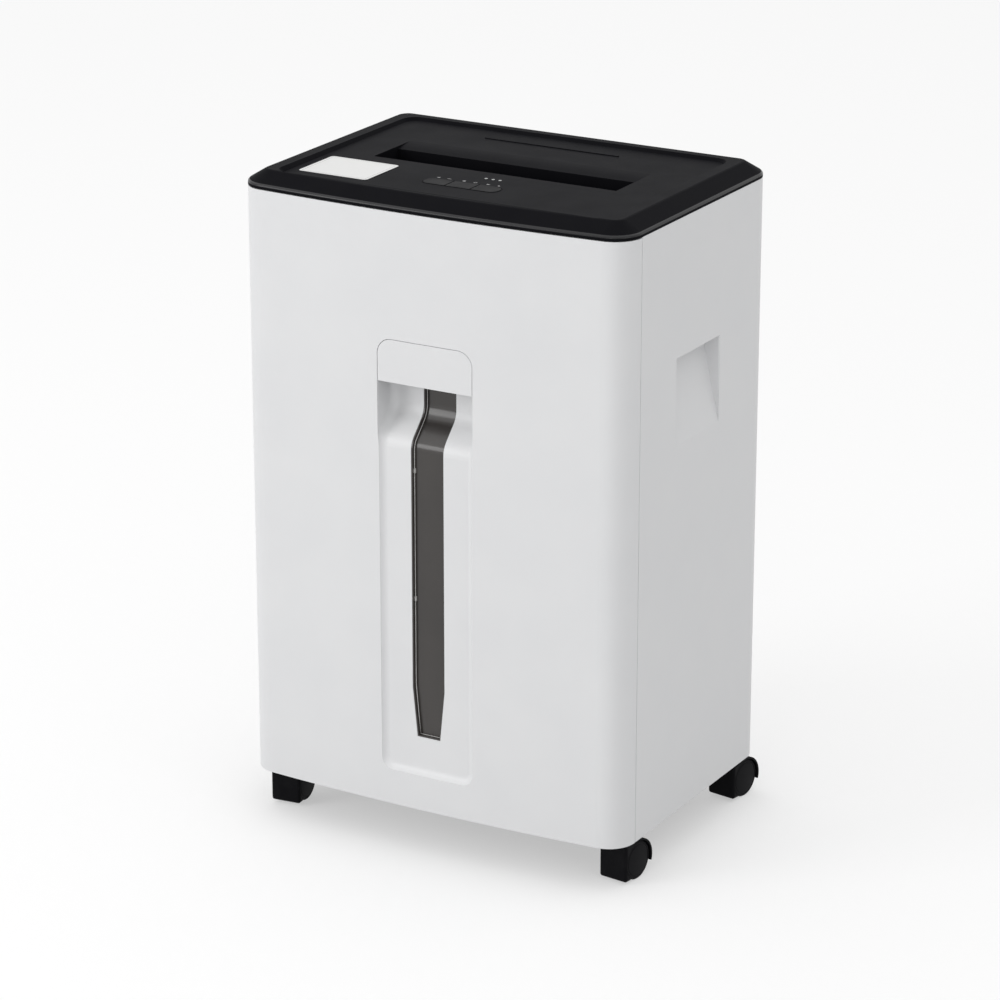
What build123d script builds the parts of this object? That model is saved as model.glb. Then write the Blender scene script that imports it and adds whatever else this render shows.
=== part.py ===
from build123d import *
import math
import os

# Upright paper shredder: white cabinet on four twin-wheel castors, black lid with a paper slot and three keys,
# a pull-out waste bin behind the tall bowed front, and a cutting head with its motor and gears under the lid.
# Millimetres, +Z up, front towards -Y, origin on the floor under the middle of the machine.

# Cabinet
BODY_WIDTH = 360.0
BODY_DEPTH = 260.0
FRONT_BOW = 7.5          # how far the front swells out between its two corners
CORNER_RADIUS = 24.0
WALL = 3.0
SKIRT_Z = 40.0           # lower edge of the white panels
SEAM_Z = 553.0           # joint between the white panels and the black lid
TOP_Z = 566.0
SIDE_SEAM_Y = -99.0      # upright joint between the bin front and the side panels
SEAM_GAP = 0.6
REAR_PANEL_HALF = 150.0  # the side panels wrap round the rear corners up to this line
RUNNING_FIT = 0.06       # radial clearance of a turning shaft or pin
PUSH_FIT = 0.02          # radial clearance of a fixed pin, bush or gear

# Side hand grips
GRIP_Y = (-37.0, 38.0)
GRIP_Z = (364.0, 437.0)
GRIP_DEPTH = 16.0
LINER = 2.5              # wall thickness behind moulded-in pockets

# Lid
LID_BORDER = ((0.0, 2.6), (0.4, 3.5), (1.4, 4.4), (13.6, 12.0), (14.6, 12.6), (16.0, 13.0))
# The sloped border of the lid, as pairs of distance in from the outline and height above the seam
LID_HOLLOW = (13.0, 8.5)  # how far in and how high the hollow under the lid's border leans
RIM_HALF_WIDTH = 154.0
RIM_Y = (-110.0, 106.0)
RIM_STEP = 4.0           # how far the sloped inner wall of the rim leans in
PANEL_Z = 563.0          # height of the tilted top panel at the middle
PANEL_TILT = 0.2         # degrees, lower at the front
PANEL_THICKNESS = 3.0
SLOT_HALF_LENGTH = 113.5
SLOT_HALF_WIDTH = 19.0
RAMP_END_Y = 41.0
RAMP_DROP = 2.2
COLLAR_Z = 549.0         # lower end of the collar round the paper slot
LEDGE_HALF_LENGTH = 63.5
LEDGE_Y = 78.5

# Keys and indicators
KEY_NAMES = ("reverse", "stop", "auto")
KEY_CENTRE_X = -2.5
KEY_PITCH = 23.4
KEY_Y = (-73.0, -56.0)
KEY_GAP = 0.6
KEY_CORNER = 7.0
KEY_TOP_Z = 563.1
KEY_TRAVEL = 1.2
LENS_X = (4.0, 10.5, 17.0)
LENS_Y = -37.0
LENS_RADIUS = 1.3

# Bin front
RECESS_HALF = 44.5
RECESS_Z = (70.5, 446.5)
RECESS_DEPTH = 4.0
POCKET_DEPTH = 25.0      # finger room behind the handle plate
BEND_LOW_Z = 360.0       # where the recess floor starts to lean back
BEND_ANGLE = 45.0
BEND_RADIUS = 16.0
RECESS_CORNER = 11.0
RECESS_SOFTNESS = 7.0    # radius where the recess floor runs up into its walls
HANDLE_Z = (410.0, 446.0)
HANDLE_HALF = 44.0
HANDLE_CORNER = 13.0
HANDLE_THICKNESS = 3.5
WINDOW_HALF = 15.3
WINDOW_END_HALF = 10.9
WINDOW_Z = (104.5, 148.0, 430.5)   # end, start of the taper, top of the view slot
WINDOW_SHEET = 2.0
WINDOW_OVERLAP = 4.5
WINDOW_SET_BACK = 1.5    # the pane stands this far behind the panel, in a shallow tray

# Waste bin
BIN_HALF = 147.0
BIN_Y = (-117.5, 117.0)
BIN_Z = (55.0, 387.0)
BIN_WALL = 2.5
BIN_CORNER = 12.0
BIN_NOTCH_Z = 350.0      # the front wall is lower behind the finger pocket

# Base and deck
BASE_Z = (43.0, 47.0)
DECK_Z = (396.0, 400.0)
DECK_FRONT_Y = -98.0
CHUTE_HALF = (112.0, 26.0)

# Cutting head
SHAFT_Z = 464.0
SHAFT_Y = 18.0           # the two cutter shafts stand this far either side of the slot's middle
HEX_ACROSS = 18.0
HEX_END_X = 116.0
JOURNAL = 7.0
DISC_RADIUS = 21.0
DISC_THICKNESS = 2.7
DISC_PITCH = 6.0
DISC_TEETH = 12
PLATE_X = (118.0, 122.0)
PLATE_Z = (410.0, 510.0)
PLATE_Y = 62.0
LEFT_PLATE_REAR_Y = 124.0
THROAT_Z = (490.0, 530.0)
THROAT_HALF_LENGTH = 114.0
THROAT_EXIT = 3.5
THROAT_WALL = 2.0

# Gear train: tooth counts and modules
SYNC_TEETH = 18
SYNC_MODULE = 2.0
DRIVE_TEETH = 42
IDLER_SMALL_TEETH = 12
DRIVE_MODULE = 2.0
IDLER_LARGE_TEETH = 48
PINION_TEETH = 12
PINION_MODULE = 1.25
SYNC_X = (123.0, 133.0)
DRIVE_X = (-136.0, -126.0)
PINION_X = (-147.0, -139.0)

# Motor
MOTOR_Y = 88.0
MOTOR_Z = 444.0
MOTOR_RADIUS = 32.0
MOTOR_X = (-118.0, 32.0)
MOTOR_SHAFT = 4.0

# Castors
CASTOR_X = 161.0
CASTOR_FRONT_Y = -91.0
CASTOR_REAR_Y = 106.5
CASTOR_TRAIL = 9.5
CASTOR_ANGLES = {"front_left": 6.0, "front_right": -7.0, "rear_left": 8.0, "rear_right": -9.0}
WHEEL_RADIUS = 17.0
WHEEL_X = (4.8, 13.2)
HOOD_RADIUS = 19.0
HOOD_SHELL = 1.6
HOOD_HALF = 13.6
HOOD_FRONT_Y = -9.0
HOOD_LOW_Z = 2.6
HOOD_ARC = (-18.0, 100.0)   # degrees round the wheel, from the rear and upwards
WEB_HALF = 4.4
AXLE = 2.0
AXLE_END_GAP = 0.6
HUB_FACE = 1.8           # wheel material left over the blind end of the axle hole
STEM_LOWER = 3.0
STEM_UPPER = 4.0

# Rear fittings
INLET_X = 96.0
SWITCH_X = 134.0
FITTING_Z = 474.0
ROCKER_PIVOT_Y = 126.5
ROCKER_REST = 8.0        # degrees the rocker leans when it is off

half_width = BODY_WIDTH / 2
half_depth = BODY_DEPTH / 2
tilt = math.tan(math.radians(PANEL_TILT))

os.makedirs("parts", exist_ok=True)


def save(name, *pieces):
    """Writes one node: a single solid, or a group of like solids."""
    solids = [solid for piece in pieces for solid in piece.solids()]
    shape = solids[0] if len(solids) == 1 else Compound(children=solids)
    export_step(shape, f"parts/{name}.step")


def block(x, y, z):
    """Box between the given x, y and z limits."""
    size = [high - low for low, high in (x, y, z)]
    middle = [(low + high) / 2 for low, high in (x, y, z)]
    return Pos(*middle) * Box(*size)


def rod_x(y, z, ends, radius):
    middle = (ends[0] + ends[1]) / 2
    return Pos(middle, y, z) * Rot(0, 90, 0) * Cylinder(radius, ends[1] - ends[0])


def rod_y(x, z, ends, radius):
    middle = (ends[0] + ends[1]) / 2
    return Pos(x, middle, z) * Rot(90, 0, 0) * Cylinder(radius, ends[1] - ends[0])


def rod_z(x, y, ends, radius):
    middle = (ends[0] + ends[1]) / 2
    return Pos(x, y, middle) * Cylinder(radius, ends[1] - ends[0])


def prism_x(face, ends):
    """Extrudes a face drawn in (y, z) between two x limits."""
    return extrude(Plane.YZ.offset(ends[0]) * face, ends[1] - ends[0])


def prism_y(face, ends):
    """Extrudes a face drawn in (x, z) between two y limits."""
    return extrude(Plane.XZ.offset(-ends[1]) * face, ends[1] - ends[0])


def polygon(*points):
    return make_face(Polyline(*points, close=True))


def both_sides(piece):
    return piece, mirror(piece, Plane.YZ)


def body_outline(inset=0.0):
    """Plan of the cabinet: flat sides and back, bowed front, rounded corners."""
    corner_y = FRONT_BOW - half_depth
    sides = Polyline((half_width, corner_y), (half_width, half_depth), (-half_width, half_depth),
                     (-half_width, corner_y))
    front = ThreePointArc((-half_width, corner_y), (0, -half_depth), (half_width, corner_y))
    outline = make_face(sides + front)
    outline = fillet(outline.vertices(), CORNER_RADIUS)
    return offset(outline, -inset) if inset else outline


def body_prism(inset, z):
    return extrude(Pos(0, 0, z[0]) * body_outline(inset), z[1] - z[0])


# White side and rear panels
far = BODY_WIDTH
panel_z = (SKIRT_Z, SEAM_Z)
shell = body_prism(0, panel_z) - body_prism(WALL, panel_z)
behind_seam = (SIDE_SEAM_Y + SEAM_GAP / 2, far)

grip_low, grip_high = GRIP_Z
grip_slope = GRIP_DEPTH / (grip_high - grip_low)
grip_face = polygon((far, grip_low), (half_width, grip_low), (half_width - GRIP_DEPTH, grip_high),
                    (far, grip_high))
grip_cut = prism_y(grip_face, GRIP_Y)
liner_x = half_width - LINER * math.hypot(1, grip_slope)
liner_top = grip_high + LINER
liner_face = polygon((far, grip_low - LINER / grip_slope), (liner_x, grip_low),
                     (liner_x - grip_slope * (liner_top - grip_low), liner_top), (far, liner_top))
grip_liner = prism_y(liner_face, (GRIP_Y[0] - LINER, GRIP_Y[1] + LINER)) & body_prism(0, panel_z)

right_panel = shell & block((REAR_PANEL_HALF, far), behind_seam, panel_z)
right_panel = right_panel + grip_liner - grip_cut
save("right_side_panel", right_panel)
save("left_side_panel", mirror(right_panel, Plane.YZ))

VENT_COLUMNS = ((-120.0, -70.0), (-60.0, -10.0))
VENT_ROWS = 7
VENT_PITCH = 8.0
VENT_HEIGHT = 3.5
VENT_LOW_Z = 484.0
CASE_SCREWS = ((-100.0, 55.0), (100.0, 55.0), (-130.0, 408.0), (130.0, 408.0))
SCREW_RADIUS = 1.75
SCREW_HEAD = 3.6
SCREW_HEAD_HEIGHT = 1.6
SCREW_BOSS = 8.0
rear_x = (SEAM_GAP / 2 - REAR_PANEL_HALF, REAR_PANEL_HALF - SEAM_GAP / 2)
rear_y = (half_depth - WALL, half_depth)
rear_panel = block(rear_x, rear_y, panel_z)
for column in VENT_COLUMNS:
    for row in range(VENT_ROWS):
        low = VENT_LOW_Z + row * VENT_PITCH
        rear_panel -= block(column, (0, far), (low, low + VENT_HEIGHT))
INLET_HALF = (13.7, 10.0)
SWITCH_HALF = (8.0, 12.0)
inlet_z = (FITTING_Z - INLET_HALF[1], FITTING_Z + INLET_HALF[1])
inlet_x = (INLET_X - INLET_HALF[0], INLET_X + INLET_HALF[0])
switch_z = (FITTING_Z - SWITCH_HALF[1], FITTING_Z + SWITCH_HALF[1])
switch_x = (SWITCH_X - SWITCH_HALF[0], SWITCH_X + SWITCH_HALF[0])
rear_panel -= block(inlet_x, (0, far), inlet_z)
rear_panel -= block(switch_x, (0, far), switch_z)
screws = []
for x, z in CASE_SCREWS:
    rear_panel -= rod_y(x, z, (0, far), SCREW_RADIUS + PUSH_FIT)
    shank = rod_y(x, z, (half_depth - WALL - SCREW_BOSS, half_depth), SCREW_RADIUS)
    head = rod_y(x, z, (half_depth, half_depth + SCREW_HEAD_HEIGHT), SCREW_HEAD)
    screws.append(shank + fillet(head.faces().sort_by(Axis.Y)[-1].edges(), SCREW_HEAD_HEIGHT / 2))
save("rear_panel", rear_panel)
save("case_screws", *screws)

# Base pan with the castor sockets
SOCKET_RADIUS = 9.0
SOCKET_TOP_Z = 75.0
PAN_STEP_Y = -90.0       # ahead of this line the pan is narrower, to clear the bin front
BIN_FRONT_GAP = 1.5
castor_places = {}
for name in CASTOR_ANGLES:
    castor_places[name] = (CASTOR_X if "right" in name else -CASTOR_X,
                           CASTOR_FRONT_Y if "front" in name else CASTOR_REAR_Y)
inner_rear = body_prism(WALL, BASE_Z) & block((-far, far), (PAN_STEP_Y, far), BASE_Z)
inner_front = body_prism(WALL + BIN_FRONT_GAP, BASE_Z) & block((-far, far), (-far, PAN_STEP_Y), BASE_Z)
base_pan = inner_rear + inner_front
for x, y in castor_places.values():
    base_pan += rod_z(x, y, (BASE_Z[0], SOCKET_TOP_Z), SOCKET_RADIUS)
for x, z in CASE_SCREWS[:2]:
    boss = block((x - SCREW_BOSS, x + SCREW_BOSS), (half_depth - WALL - SCREW_BOSS, half_depth - WALL),
                 (BASE_Z[1], z + SCREW_BOSS))
    base_pan += boss
    base_pan -= rod_y(x, z, (0, far), SCREW_RADIUS + PUSH_FIT)
for x, y in castor_places.values():
    base_pan -= rod_z(x, y, (0, SOCKET_TOP_Z), STEM_UPPER + PUSH_FIT)
save("base_pan", base_pan)

RAIL_X = (128.0, 151.0)
RAIL_LIP_X = 148.2
RAIL_Y = (-92.0, 117.0)
RAIL_GAP = 0.4
RAIL_LIP_HEIGHT = 18.0
rail = block(RAIL_X, RAIL_Y, (BASE_Z[1], BIN_Z[0] - RAIL_GAP))
rail += block((RAIL_LIP_X, RAIL_X[1]), RAIL_Y, (BASE_Z[1], BIN_Z[0] + RAIL_LIP_HEIGHT))
save("bin_rails", *both_sides(rail))

# Deck that carries the cutting head and closes the space above the bin
deck_area = block((-far, far), (DECK_FRONT_Y, far), DECK_Z)
deck = body_prism(WALL, DECK_Z) & deck_area
front_wall_y = (DECK_FRONT_Y, DECK_FRONT_Y + WALL)
deck += block((WALL - half_width, half_width - WALL), front_wall_y, (DECK_Z[0], COLLAR_Z))
deck -= block((-CHUTE_HALF[0], CHUTE_HALF[0]), (-CHUTE_HALF[1], CHUTE_HALF[1]), DECK_Z)
notch_wall = 2 * LINER   # room left round the back of each hand grip
notch_y = (GRIP_Y[0] - notch_wall, GRIP_Y[1] + notch_wall)
deck_notch = block((half_width - GRIP_DEPTH - notch_wall, far), notch_y, DECK_Z)
for notch in both_sides(deck_notch):
    deck -= notch
for x, z in CASE_SCREWS[2:]:
    deck += block((x - SCREW_BOSS, x + SCREW_BOSS), (half_depth - WALL - SCREW_BOSS, half_depth - WALL),
                  (DECK_Z[0], z + SCREW_BOSS))
    deck -= rod_y(x, z, (0, far), SCREW_RADIUS + PUSH_FIT)
save("head_deck", deck)


# Lid
def panel_height(y):
    return PANEL_Z + tilt * y


def under_panel(drop):
    """Everything below the tilted top panel, lowered by a thickness."""
    face = polygon((-far, panel_height(-far) - drop), (far, panel_height(far) - drop), (far, 0), (-far, 0))
    return prism_x(face, (-far, far))


def rim_section(lean, z, corner):
    middle = (RIM_Y[0] + RIM_Y[1]) / 2
    area = RectangleRounded(2 * (RIM_HALF_WIDTH - lean), RIM_Y[1] - RIM_Y[0] - 2 * lean, corner)
    return Pos(0, middle, z) * area


RIM_CORNERS = (9.0, 13.0)   # plan corner radius of the well, at its floor and at its rim
LIP_GAP = 0.2               # play of the locating lip inside the white panels
LIP_HEIGHT = 5.0
COLLAR_WALL = 3.5
LEDGE_WIDTH = 1.6
LEDGE_HEIGHT = 0.7
slot_x = (-SLOT_HALF_LENGTH, SLOT_HALF_LENGTH)
slot_y = (-SLOT_HALF_WIDTH, SLOT_HALF_WIDTH)
lid = body_prism(0, (SEAM_Z, SEAM_Z + LID_BORDER[0][1]))
border_sections = [Pos(0, 0, SEAM_Z + height) * body_outline(inset) for inset, height in LID_BORDER]
for lower, upper in zip(border_sections, border_sections[1:]):
    lid += loft([lower, upper], ruled=True)
well_floor_z = panel_height(RIM_Y[0]) - 1
well_sections = [rim_section(RIM_STEP, well_floor_z, RIM_CORNERS[0]), rim_section(0, TOP_Z, RIM_CORNERS[1])]
lid -= loft(well_sections, ruled=True) - under_panel(0)
hollow_floor = Pos(0, 0, SEAM_Z) * body_outline(2 * WALL)
hollow_roof = Pos(0, 0, SEAM_Z + LID_HOLLOW[1]) * body_outline(LID_HOLLOW[0])
lid -= loft([hollow_floor, hollow_roof], ruled=True) & under_panel(PANEL_THICKNESS)
lip_z = (SEAM_Z - LIP_HEIGHT, SEAM_Z)
lip = body_prism(WALL + LIP_GAP, lip_z) - body_prism(2 * WALL, lip_z)
lid += lip & block((-far, far), (DECK_FRONT_Y + 2 * WALL, far), lip_z)
collar = block((slot_x[0] - COLLAR_WALL, slot_x[1] + COLLAR_WALL), (slot_y[0] - COLLAR_WALL, RAMP_END_Y),
               (COLLAR_Z, PANEL_Z))
lid += collar & under_panel(PANEL_THICKNESS / 2)
lid -= block(slot_x, slot_y, (0, 2 * far))
ramp_top = panel_height(RAMP_END_Y)
ramp_start = (SLOT_HALF_WIDTH, panel_height(SLOT_HALF_WIDTH) - RAMP_DROP)
ramp_curve = TangentArc(((RAMP_END_Y, ramp_top), ramp_start), tangent=(-1, -tilt))
ramp_lines = Polyline(ramp_start, (SLOT_HALF_WIDTH, TOP_Z), (RAMP_END_Y, TOP_Z), (RAMP_END_Y, ramp_top))
lid -= prism_x(make_face(ramp_curve + ramp_lines), slot_x)
ledge_base_z = panel_height(LEDGE_Y)
ledge_y = (LEDGE_Y - LEDGE_WIDTH / 2, LEDGE_Y + LEDGE_WIDTH / 2)
lid += block((-LEDGE_HALF_LENGTH, LEDGE_HALF_LENGTH), ledge_y, (ledge_base_z - 1, ledge_base_z + LEDGE_HEIGHT))

key_span = len(KEY_NAMES) * KEY_PITCH
key_middle_y = (KEY_Y[0] + KEY_Y[1]) / 2
key_depth = KEY_Y[1] - KEY_Y[0]
key_opening = RectangleRounded(key_span + KEY_GAP, key_depth + 2 * KEY_GAP, KEY_CORNER + KEY_GAP)
lid -= extrude(Pos(KEY_CENTRE_X, key_middle_y, SEAM_Z) * key_opening, TOP_Z - SEAM_Z)
for x in LENS_X:
    lid -= rod_z(x, LENS_Y, (SEAM_Z, TOP_Z), LENS_RADIUS + PUSH_FIT)
BOARD_Z = (542.4, 544.0)
BOARD_HALF = 50.0
BOARD_Y = (-88.0, -31.0)
BOARD_POST = 3.0
POST_INSET = 4.0
for x in (POST_INSET - BOARD_HALF, BOARD_HALF - POST_INSET):
    for y in (BOARD_Y[0] + POST_INSET, BOARD_Y[1] - POST_INSET):
        lid += rod_z(x, y, (BOARD_Z[1], panel_height(y) - 1), BOARD_POST)
save("top_cover", lid)

# Push keys, their switches, the indicator lenses and the control board
FLANGE_Z = (556.9, 558.8)
FLANGE_REACH = 1.6
STEM_END_Z = 549.6
SWITCH_GAP = 0.4         # left under a key that is pressed home
SWITCH_TOP_Z = STEM_END_Z - KEY_TRAVEL - SWITCH_GAP
SWITCH_CAP = (1.7, 0.8)  # radius and height of the small round plunger
KEY_STEM_HALF = 3.0
KEY_EDGE = 0.5
CHIP = ((-44.0, -30.0), (-52.0, -38.0), (BOARD_Z[1], BOARD_Z[1] + 2.2))
RELAY = ((28.0, 44.0), (-60.0, -48.0), (BOARD_Z[1], BOARD_Z[1] + 5.0))
cap_row = RectangleRounded(key_span - KEY_GAP, key_depth, KEY_CORNER)
board = block((-BOARD_HALF, BOARD_HALF), BOARD_Y, BOARD_Z) + block(*CHIP) + block(*RELAY)
stem_y = (key_middle_y - KEY_STEM_HALF, key_middle_y + KEY_STEM_HALF)
for index, name in enumerate(KEY_NAMES):
    x = KEY_CENTRE_X + (index - 1) * KEY_PITCH
    key_x = (x - (KEY_PITCH - KEY_GAP) / 2, x + (KEY_PITCH - KEY_GAP) / 2)
    cap = extrude(Pos(KEY_CENTRE_X, key_middle_y, FLANGE_Z[1]) * cap_row, KEY_TOP_Z - FLANGE_Z[1])
    key = cap & block(key_x, KEY_Y, (FLANGE_Z[1], KEY_TOP_Z))
    key = fillet(key.faces().sort_by(Axis.Z)[-1].edges(), KEY_EDGE)
    key += block(key_x, (KEY_Y[0] - FLANGE_REACH, KEY_Y[1] + FLANGE_REACH), FLANGE_Z)
    stem_x = (x - KEY_STEM_HALF, x + KEY_STEM_HALF)
    key += block(stem_x, stem_y, (STEM_END_Z, FLANGE_Z[0]))
    save(f"key_{name}", key)
    board += block(stem_x, stem_y, (BOARD_Z[1], SWITCH_TOP_Z - SWITCH_CAP[1]))
    board += rod_z(x, key_middle_y, (SWITCH_TOP_Z - SWITCH_CAP[1], SWITCH_TOP_Z), SWITCH_CAP[0])
save("control_board", board)

LENS_LOW_Z = 557.2
LENS_PROUD = 0.3
LENS_FLANGE = (2.2, 2.3)   # radius and height of the lens foot
lenses = []
for x in LENS_X:
    lens = rod_z(x, LENS_Y, (LENS_LOW_Z, panel_height(LENS_Y) + LENS_PROUD), LENS_RADIUS)
    lenses.append(lens + rod_z(x, LENS_Y, (LENS_LOW_Z, LENS_LOW_Z + LENS_FLANGE[1]), LENS_FLANGE[0]))
save("indicator_lenses", *lenses)


# Bin front with the handle recess and its view slot
OVERRUN = 20.0           # how far cutting shapes run past the part


def recess_floor(behind):
    """Side-view line of the recess floor in (y, z), moved back by the given distance."""
    shift = behind * math.tan(math.radians(BEND_ANGLE / 2))
    shallow = RECESS_DEPTH - half_depth + behind
    deep = POCKET_DEPTH - half_depth + behind
    bend_high_z = BEND_LOW_Z + (POCKET_DEPTH - RECESS_DEPTH) / math.tan(math.radians(BEND_ANGLE))
    points = ((shallow, RECESS_Z[0] - OVERRUN), (shallow, BEND_LOW_Z - shift), (deep, bend_high_z - shift),
              (deep, RECESS_Z[1] + OVERRUN))
    return FilletPolyline(*points, radius=[BEND_RADIUS - behind, BEND_RADIUS + behind])


def recess_solid(grow):
    """The handle recess, grown by a wall thickness on its inner sides."""
    floor = recess_floor(grow)
    ahead = -half_depth - OVERRUN
    closing = Polyline(floor @ 1, (ahead, (floor @ 1).Y), (ahead, (floor @ 0).Y), floor @ 0)
    side_view = prism_x(make_face(floor + closing), (-RECESS_HALF - grow, RECESS_HALF + grow))
    low, high = RECESS_Z[0] - grow, RECESS_Z[1] + grow
    front_view = Pos(0, (low + high) / 2) * Rectangle(2 * (RECESS_HALF + grow), high - low)
    lower_corners = front_view.vertices().sort_by(Axis.Y)[:2]
    front_view = fillet(lower_corners, RECESS_CORNER + grow)
    upper_corners = front_view.vertices().sort_by(Axis.Y)[-2:]
    front_view = fillet(upper_corners, HANDLE_CORNER + RECESS_HALF - HANDLE_HALF + grow)
    recess = side_view & prism_y(front_view, (ahead, 0))
    full_width = 2 * (RECESS_HALF + grow)
    floor_edges = [edge for edge in recess.edges()
                   if edge.bounding_box().min.Y > -half_depth and edge.bounding_box().size.X < full_width - grow - 1]
    return fillet(floor_edges, RECESS_SOFTNESS + grow)


front_z = (SKIRT_Z, SEAM_Z - SEAM_GAP)
front_area = block((-far, far), (-far, SIDE_SEAM_Y - SEAM_GAP / 2), front_z)
front_shell = body_prism(0, front_z) - body_prism(WALL, front_z)
bin_front = front_shell & front_area
bin_front += recess_solid(LINER) & body_prism(0, front_z)
bin_front -= recess_solid(0)
end_z, taper_z, slot_top_z = WINDOW_Z
window_slot = polygon((-WINDOW_END_HALF, end_z), (WINDOW_END_HALF, end_z), (WINDOW_HALF, taper_z),
                      (WINDOW_HALF, slot_top_z), (-WINDOW_HALF, slot_top_z), (-WINDOW_HALF, taper_z))
bin_front -= prism_y(window_slot, (-half_depth, DECK_FRONT_Y))
BIN_POSTS = ((-115.0, 97.0), (115.0, 97.0), (-115.0, 330.0), (115.0, 330.0))
POST_RADIUS = 7.0
POST_ROOT_Y = -125.5     # just inside the bowed panel
SCREW_TIP_Y = -124.0
bin_head_y = (BIN_Y[0] + BIN_WALL, BIN_Y[0] + BIN_WALL + SCREW_HEAD_HEIGHT)
bin_screws = []
for x, z in BIN_POSTS:
    bin_front += rod_y(x, z, (POST_ROOT_Y, BIN_Y[0]), POST_RADIUS)
    bin_front -= rod_y(x, z, (SCREW_TIP_Y, BIN_Y[0]), SCREW_RADIUS + PUSH_FIT)
    shank = rod_y(x, z, (SCREW_TIP_Y, bin_head_y[0]), SCREW_RADIUS)
    bin_screws.append(shank + rod_y(x, z, bin_head_y, SCREW_HEAD))
save("bin_front_panel", bin_front)
save("bin_screws", *bin_screws)

handle_face = Pos(0, (HANDLE_Z[0] + HANDLE_Z[1]) / 2) * Rectangle(2 * HANDLE_HALF, HANDLE_Z[1] - HANDLE_Z[0])
handle_face = fillet(handle_face.vertices().sort_by(Axis.Y)[-2:], HANDLE_CORNER)
handle_skin = body_prism(0, HANDLE_Z) - body_prism(HANDLE_THICKNESS, HANDLE_Z)
handle = prism_y(handle_face, (-half_depth - OVERRUN, 0)) & handle_skin
BRIDGE_HALF = 30.0       # the bar that holds the plate against the top of the recess
BRIDGE_Z = (439.0, 446.4)
bridge_y = (HANDLE_THICKNESS / 2 - half_depth, POCKET_DEPTH - RECESS_SOFTNESS - half_depth)
handle += block((-BRIDGE_HALF, BRIDGE_HALF), bridge_y, BRIDGE_Z)
save("handle_plate", handle)

TRAY_GAP = 0.15          # play of the window's tray in the slot
TRAY_WALL = 1.0
TRAY_LIP = 0.4           # how far the tray stops short of the recess floor


def floor_layer(front, back):
    """Bent layer between two distances behind the recess floor, as wide and tall as the window."""
    near, away = recess_floor(front), recess_floor(back)
    ends = Polyline(near @ 1, away @ 1) + Polyline(away @ 0, near @ 0)
    sheet_half = WINDOW_HALF + WINDOW_OVERLAP
    layer = prism_x(make_face(near + away + ends), (-sheet_half, sheet_half))
    return layer & block((-far, far), (-far, far), (end_z - WINDOW_OVERLAP, slot_top_z + WINDOW_OVERLAP))


tray_outside = prism_y(offset(window_slot, -TRAY_GAP, kind=Kind.INTERSECTION), (-half_depth, 0))
tray_inside = prism_y(offset(window_slot, -TRAY_GAP - TRAY_WALL, kind=Kind.INTERSECTION), (-half_depth, 0))
pane_front = LINER + WINDOW_SET_BACK
window = floor_layer(pane_front, pane_front + WINDOW_SHEET)
window += floor_layer(LINER, pane_front) - tray_inside
window += (floor_layer(TRAY_LIP, pane_front) & tray_outside) - tray_inside
save("view_window", window)

# Waste bin, its magnet and the reed switch that senses it
BIN_NOTCH_HALF = 54.5
TUB_WINDOW_HALF = 13.3
TUB_WINDOW_Z = (111.0, BIN_NOTCH_Z)
bin_middle_y = (BIN_Y[0] + BIN_Y[1]) / 2
bin_depth = BIN_Y[1] - BIN_Y[0]
outer = RectangleRounded(2 * BIN_HALF, bin_depth, BIN_CORNER)
hollow = RectangleRounded(2 * (BIN_HALF - BIN_WALL), bin_depth - 2 * BIN_WALL, BIN_CORNER - BIN_WALL)
tub = extrude(Pos(0, bin_middle_y, BIN_Z[0]) * outer, BIN_Z[1] - BIN_Z[0])
tub -= extrude(Pos(0, bin_middle_y, BIN_Z[0] + BIN_WALL) * hollow, BIN_Z[1])
tub_front_y = (-far, bin_head_y[1])
tub -= block((-BIN_NOTCH_HALF, BIN_NOTCH_HALF), tub_front_y, (BIN_NOTCH_Z, BIN_Z[1]))
tub -= block((-TUB_WINDOW_HALF, TUB_WINDOW_HALF), tub_front_y, TUB_WINDOW_Z)
for x, z in BIN_POSTS:
    tub -= rod_y(x, z, (-far, 0), SCREW_RADIUS + PUSH_FIT)
save("bin_tub", tub)
MAGNET_X = (94.0, 106.0)
MAGNET_Z = (340.0, 360.0)
MAGNET_DEPTH = 4.0
SENSOR_X = (92.0, 108.0)
inside_rear_y = half_depth - WALL
save("bin_magnet", block(MAGNET_X, (BIN_Y[1], BIN_Y[1] + MAGNET_DEPTH), MAGNET_Z))
save("bin_sensor", block(SENSOR_X, (inside_rear_y - MAGNET_DEPTH, inside_rear_y), MAGNET_Z))


# Cutting head
TOOTH_HEIGHT = 2.6
TOOTH_BACK = 0.25        # share of the tooth pitch taken by the steep side
HEX_PLAY = 0.1
DISC_TURNS = 5           # the discs step round in fifths of a tooth, so they bite one after another


def hexagon(across):
    return RegularPolygon(across / math.sqrt(3), 6)


def saw_disc(turn):
    """Cutter disc outline with raked teeth and a hexagonal bore, drawn in (y, z)."""
    step = 2 * math.pi / DISC_TEETH
    points = []
    for tooth in range(DISC_TEETH):
        angle = turn + tooth * step
        for radius, lead in ((DISC_RADIUS, 0.0), (DISC_RADIUS - TOOTH_HEIGHT, TOOTH_BACK * step)):
            points.append((radius * math.cos(angle + lead), radius * math.sin(angle + lead)))
    return polygon(*points) - hexagon(HEX_ACROSS + HEX_PLAY)


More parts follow.
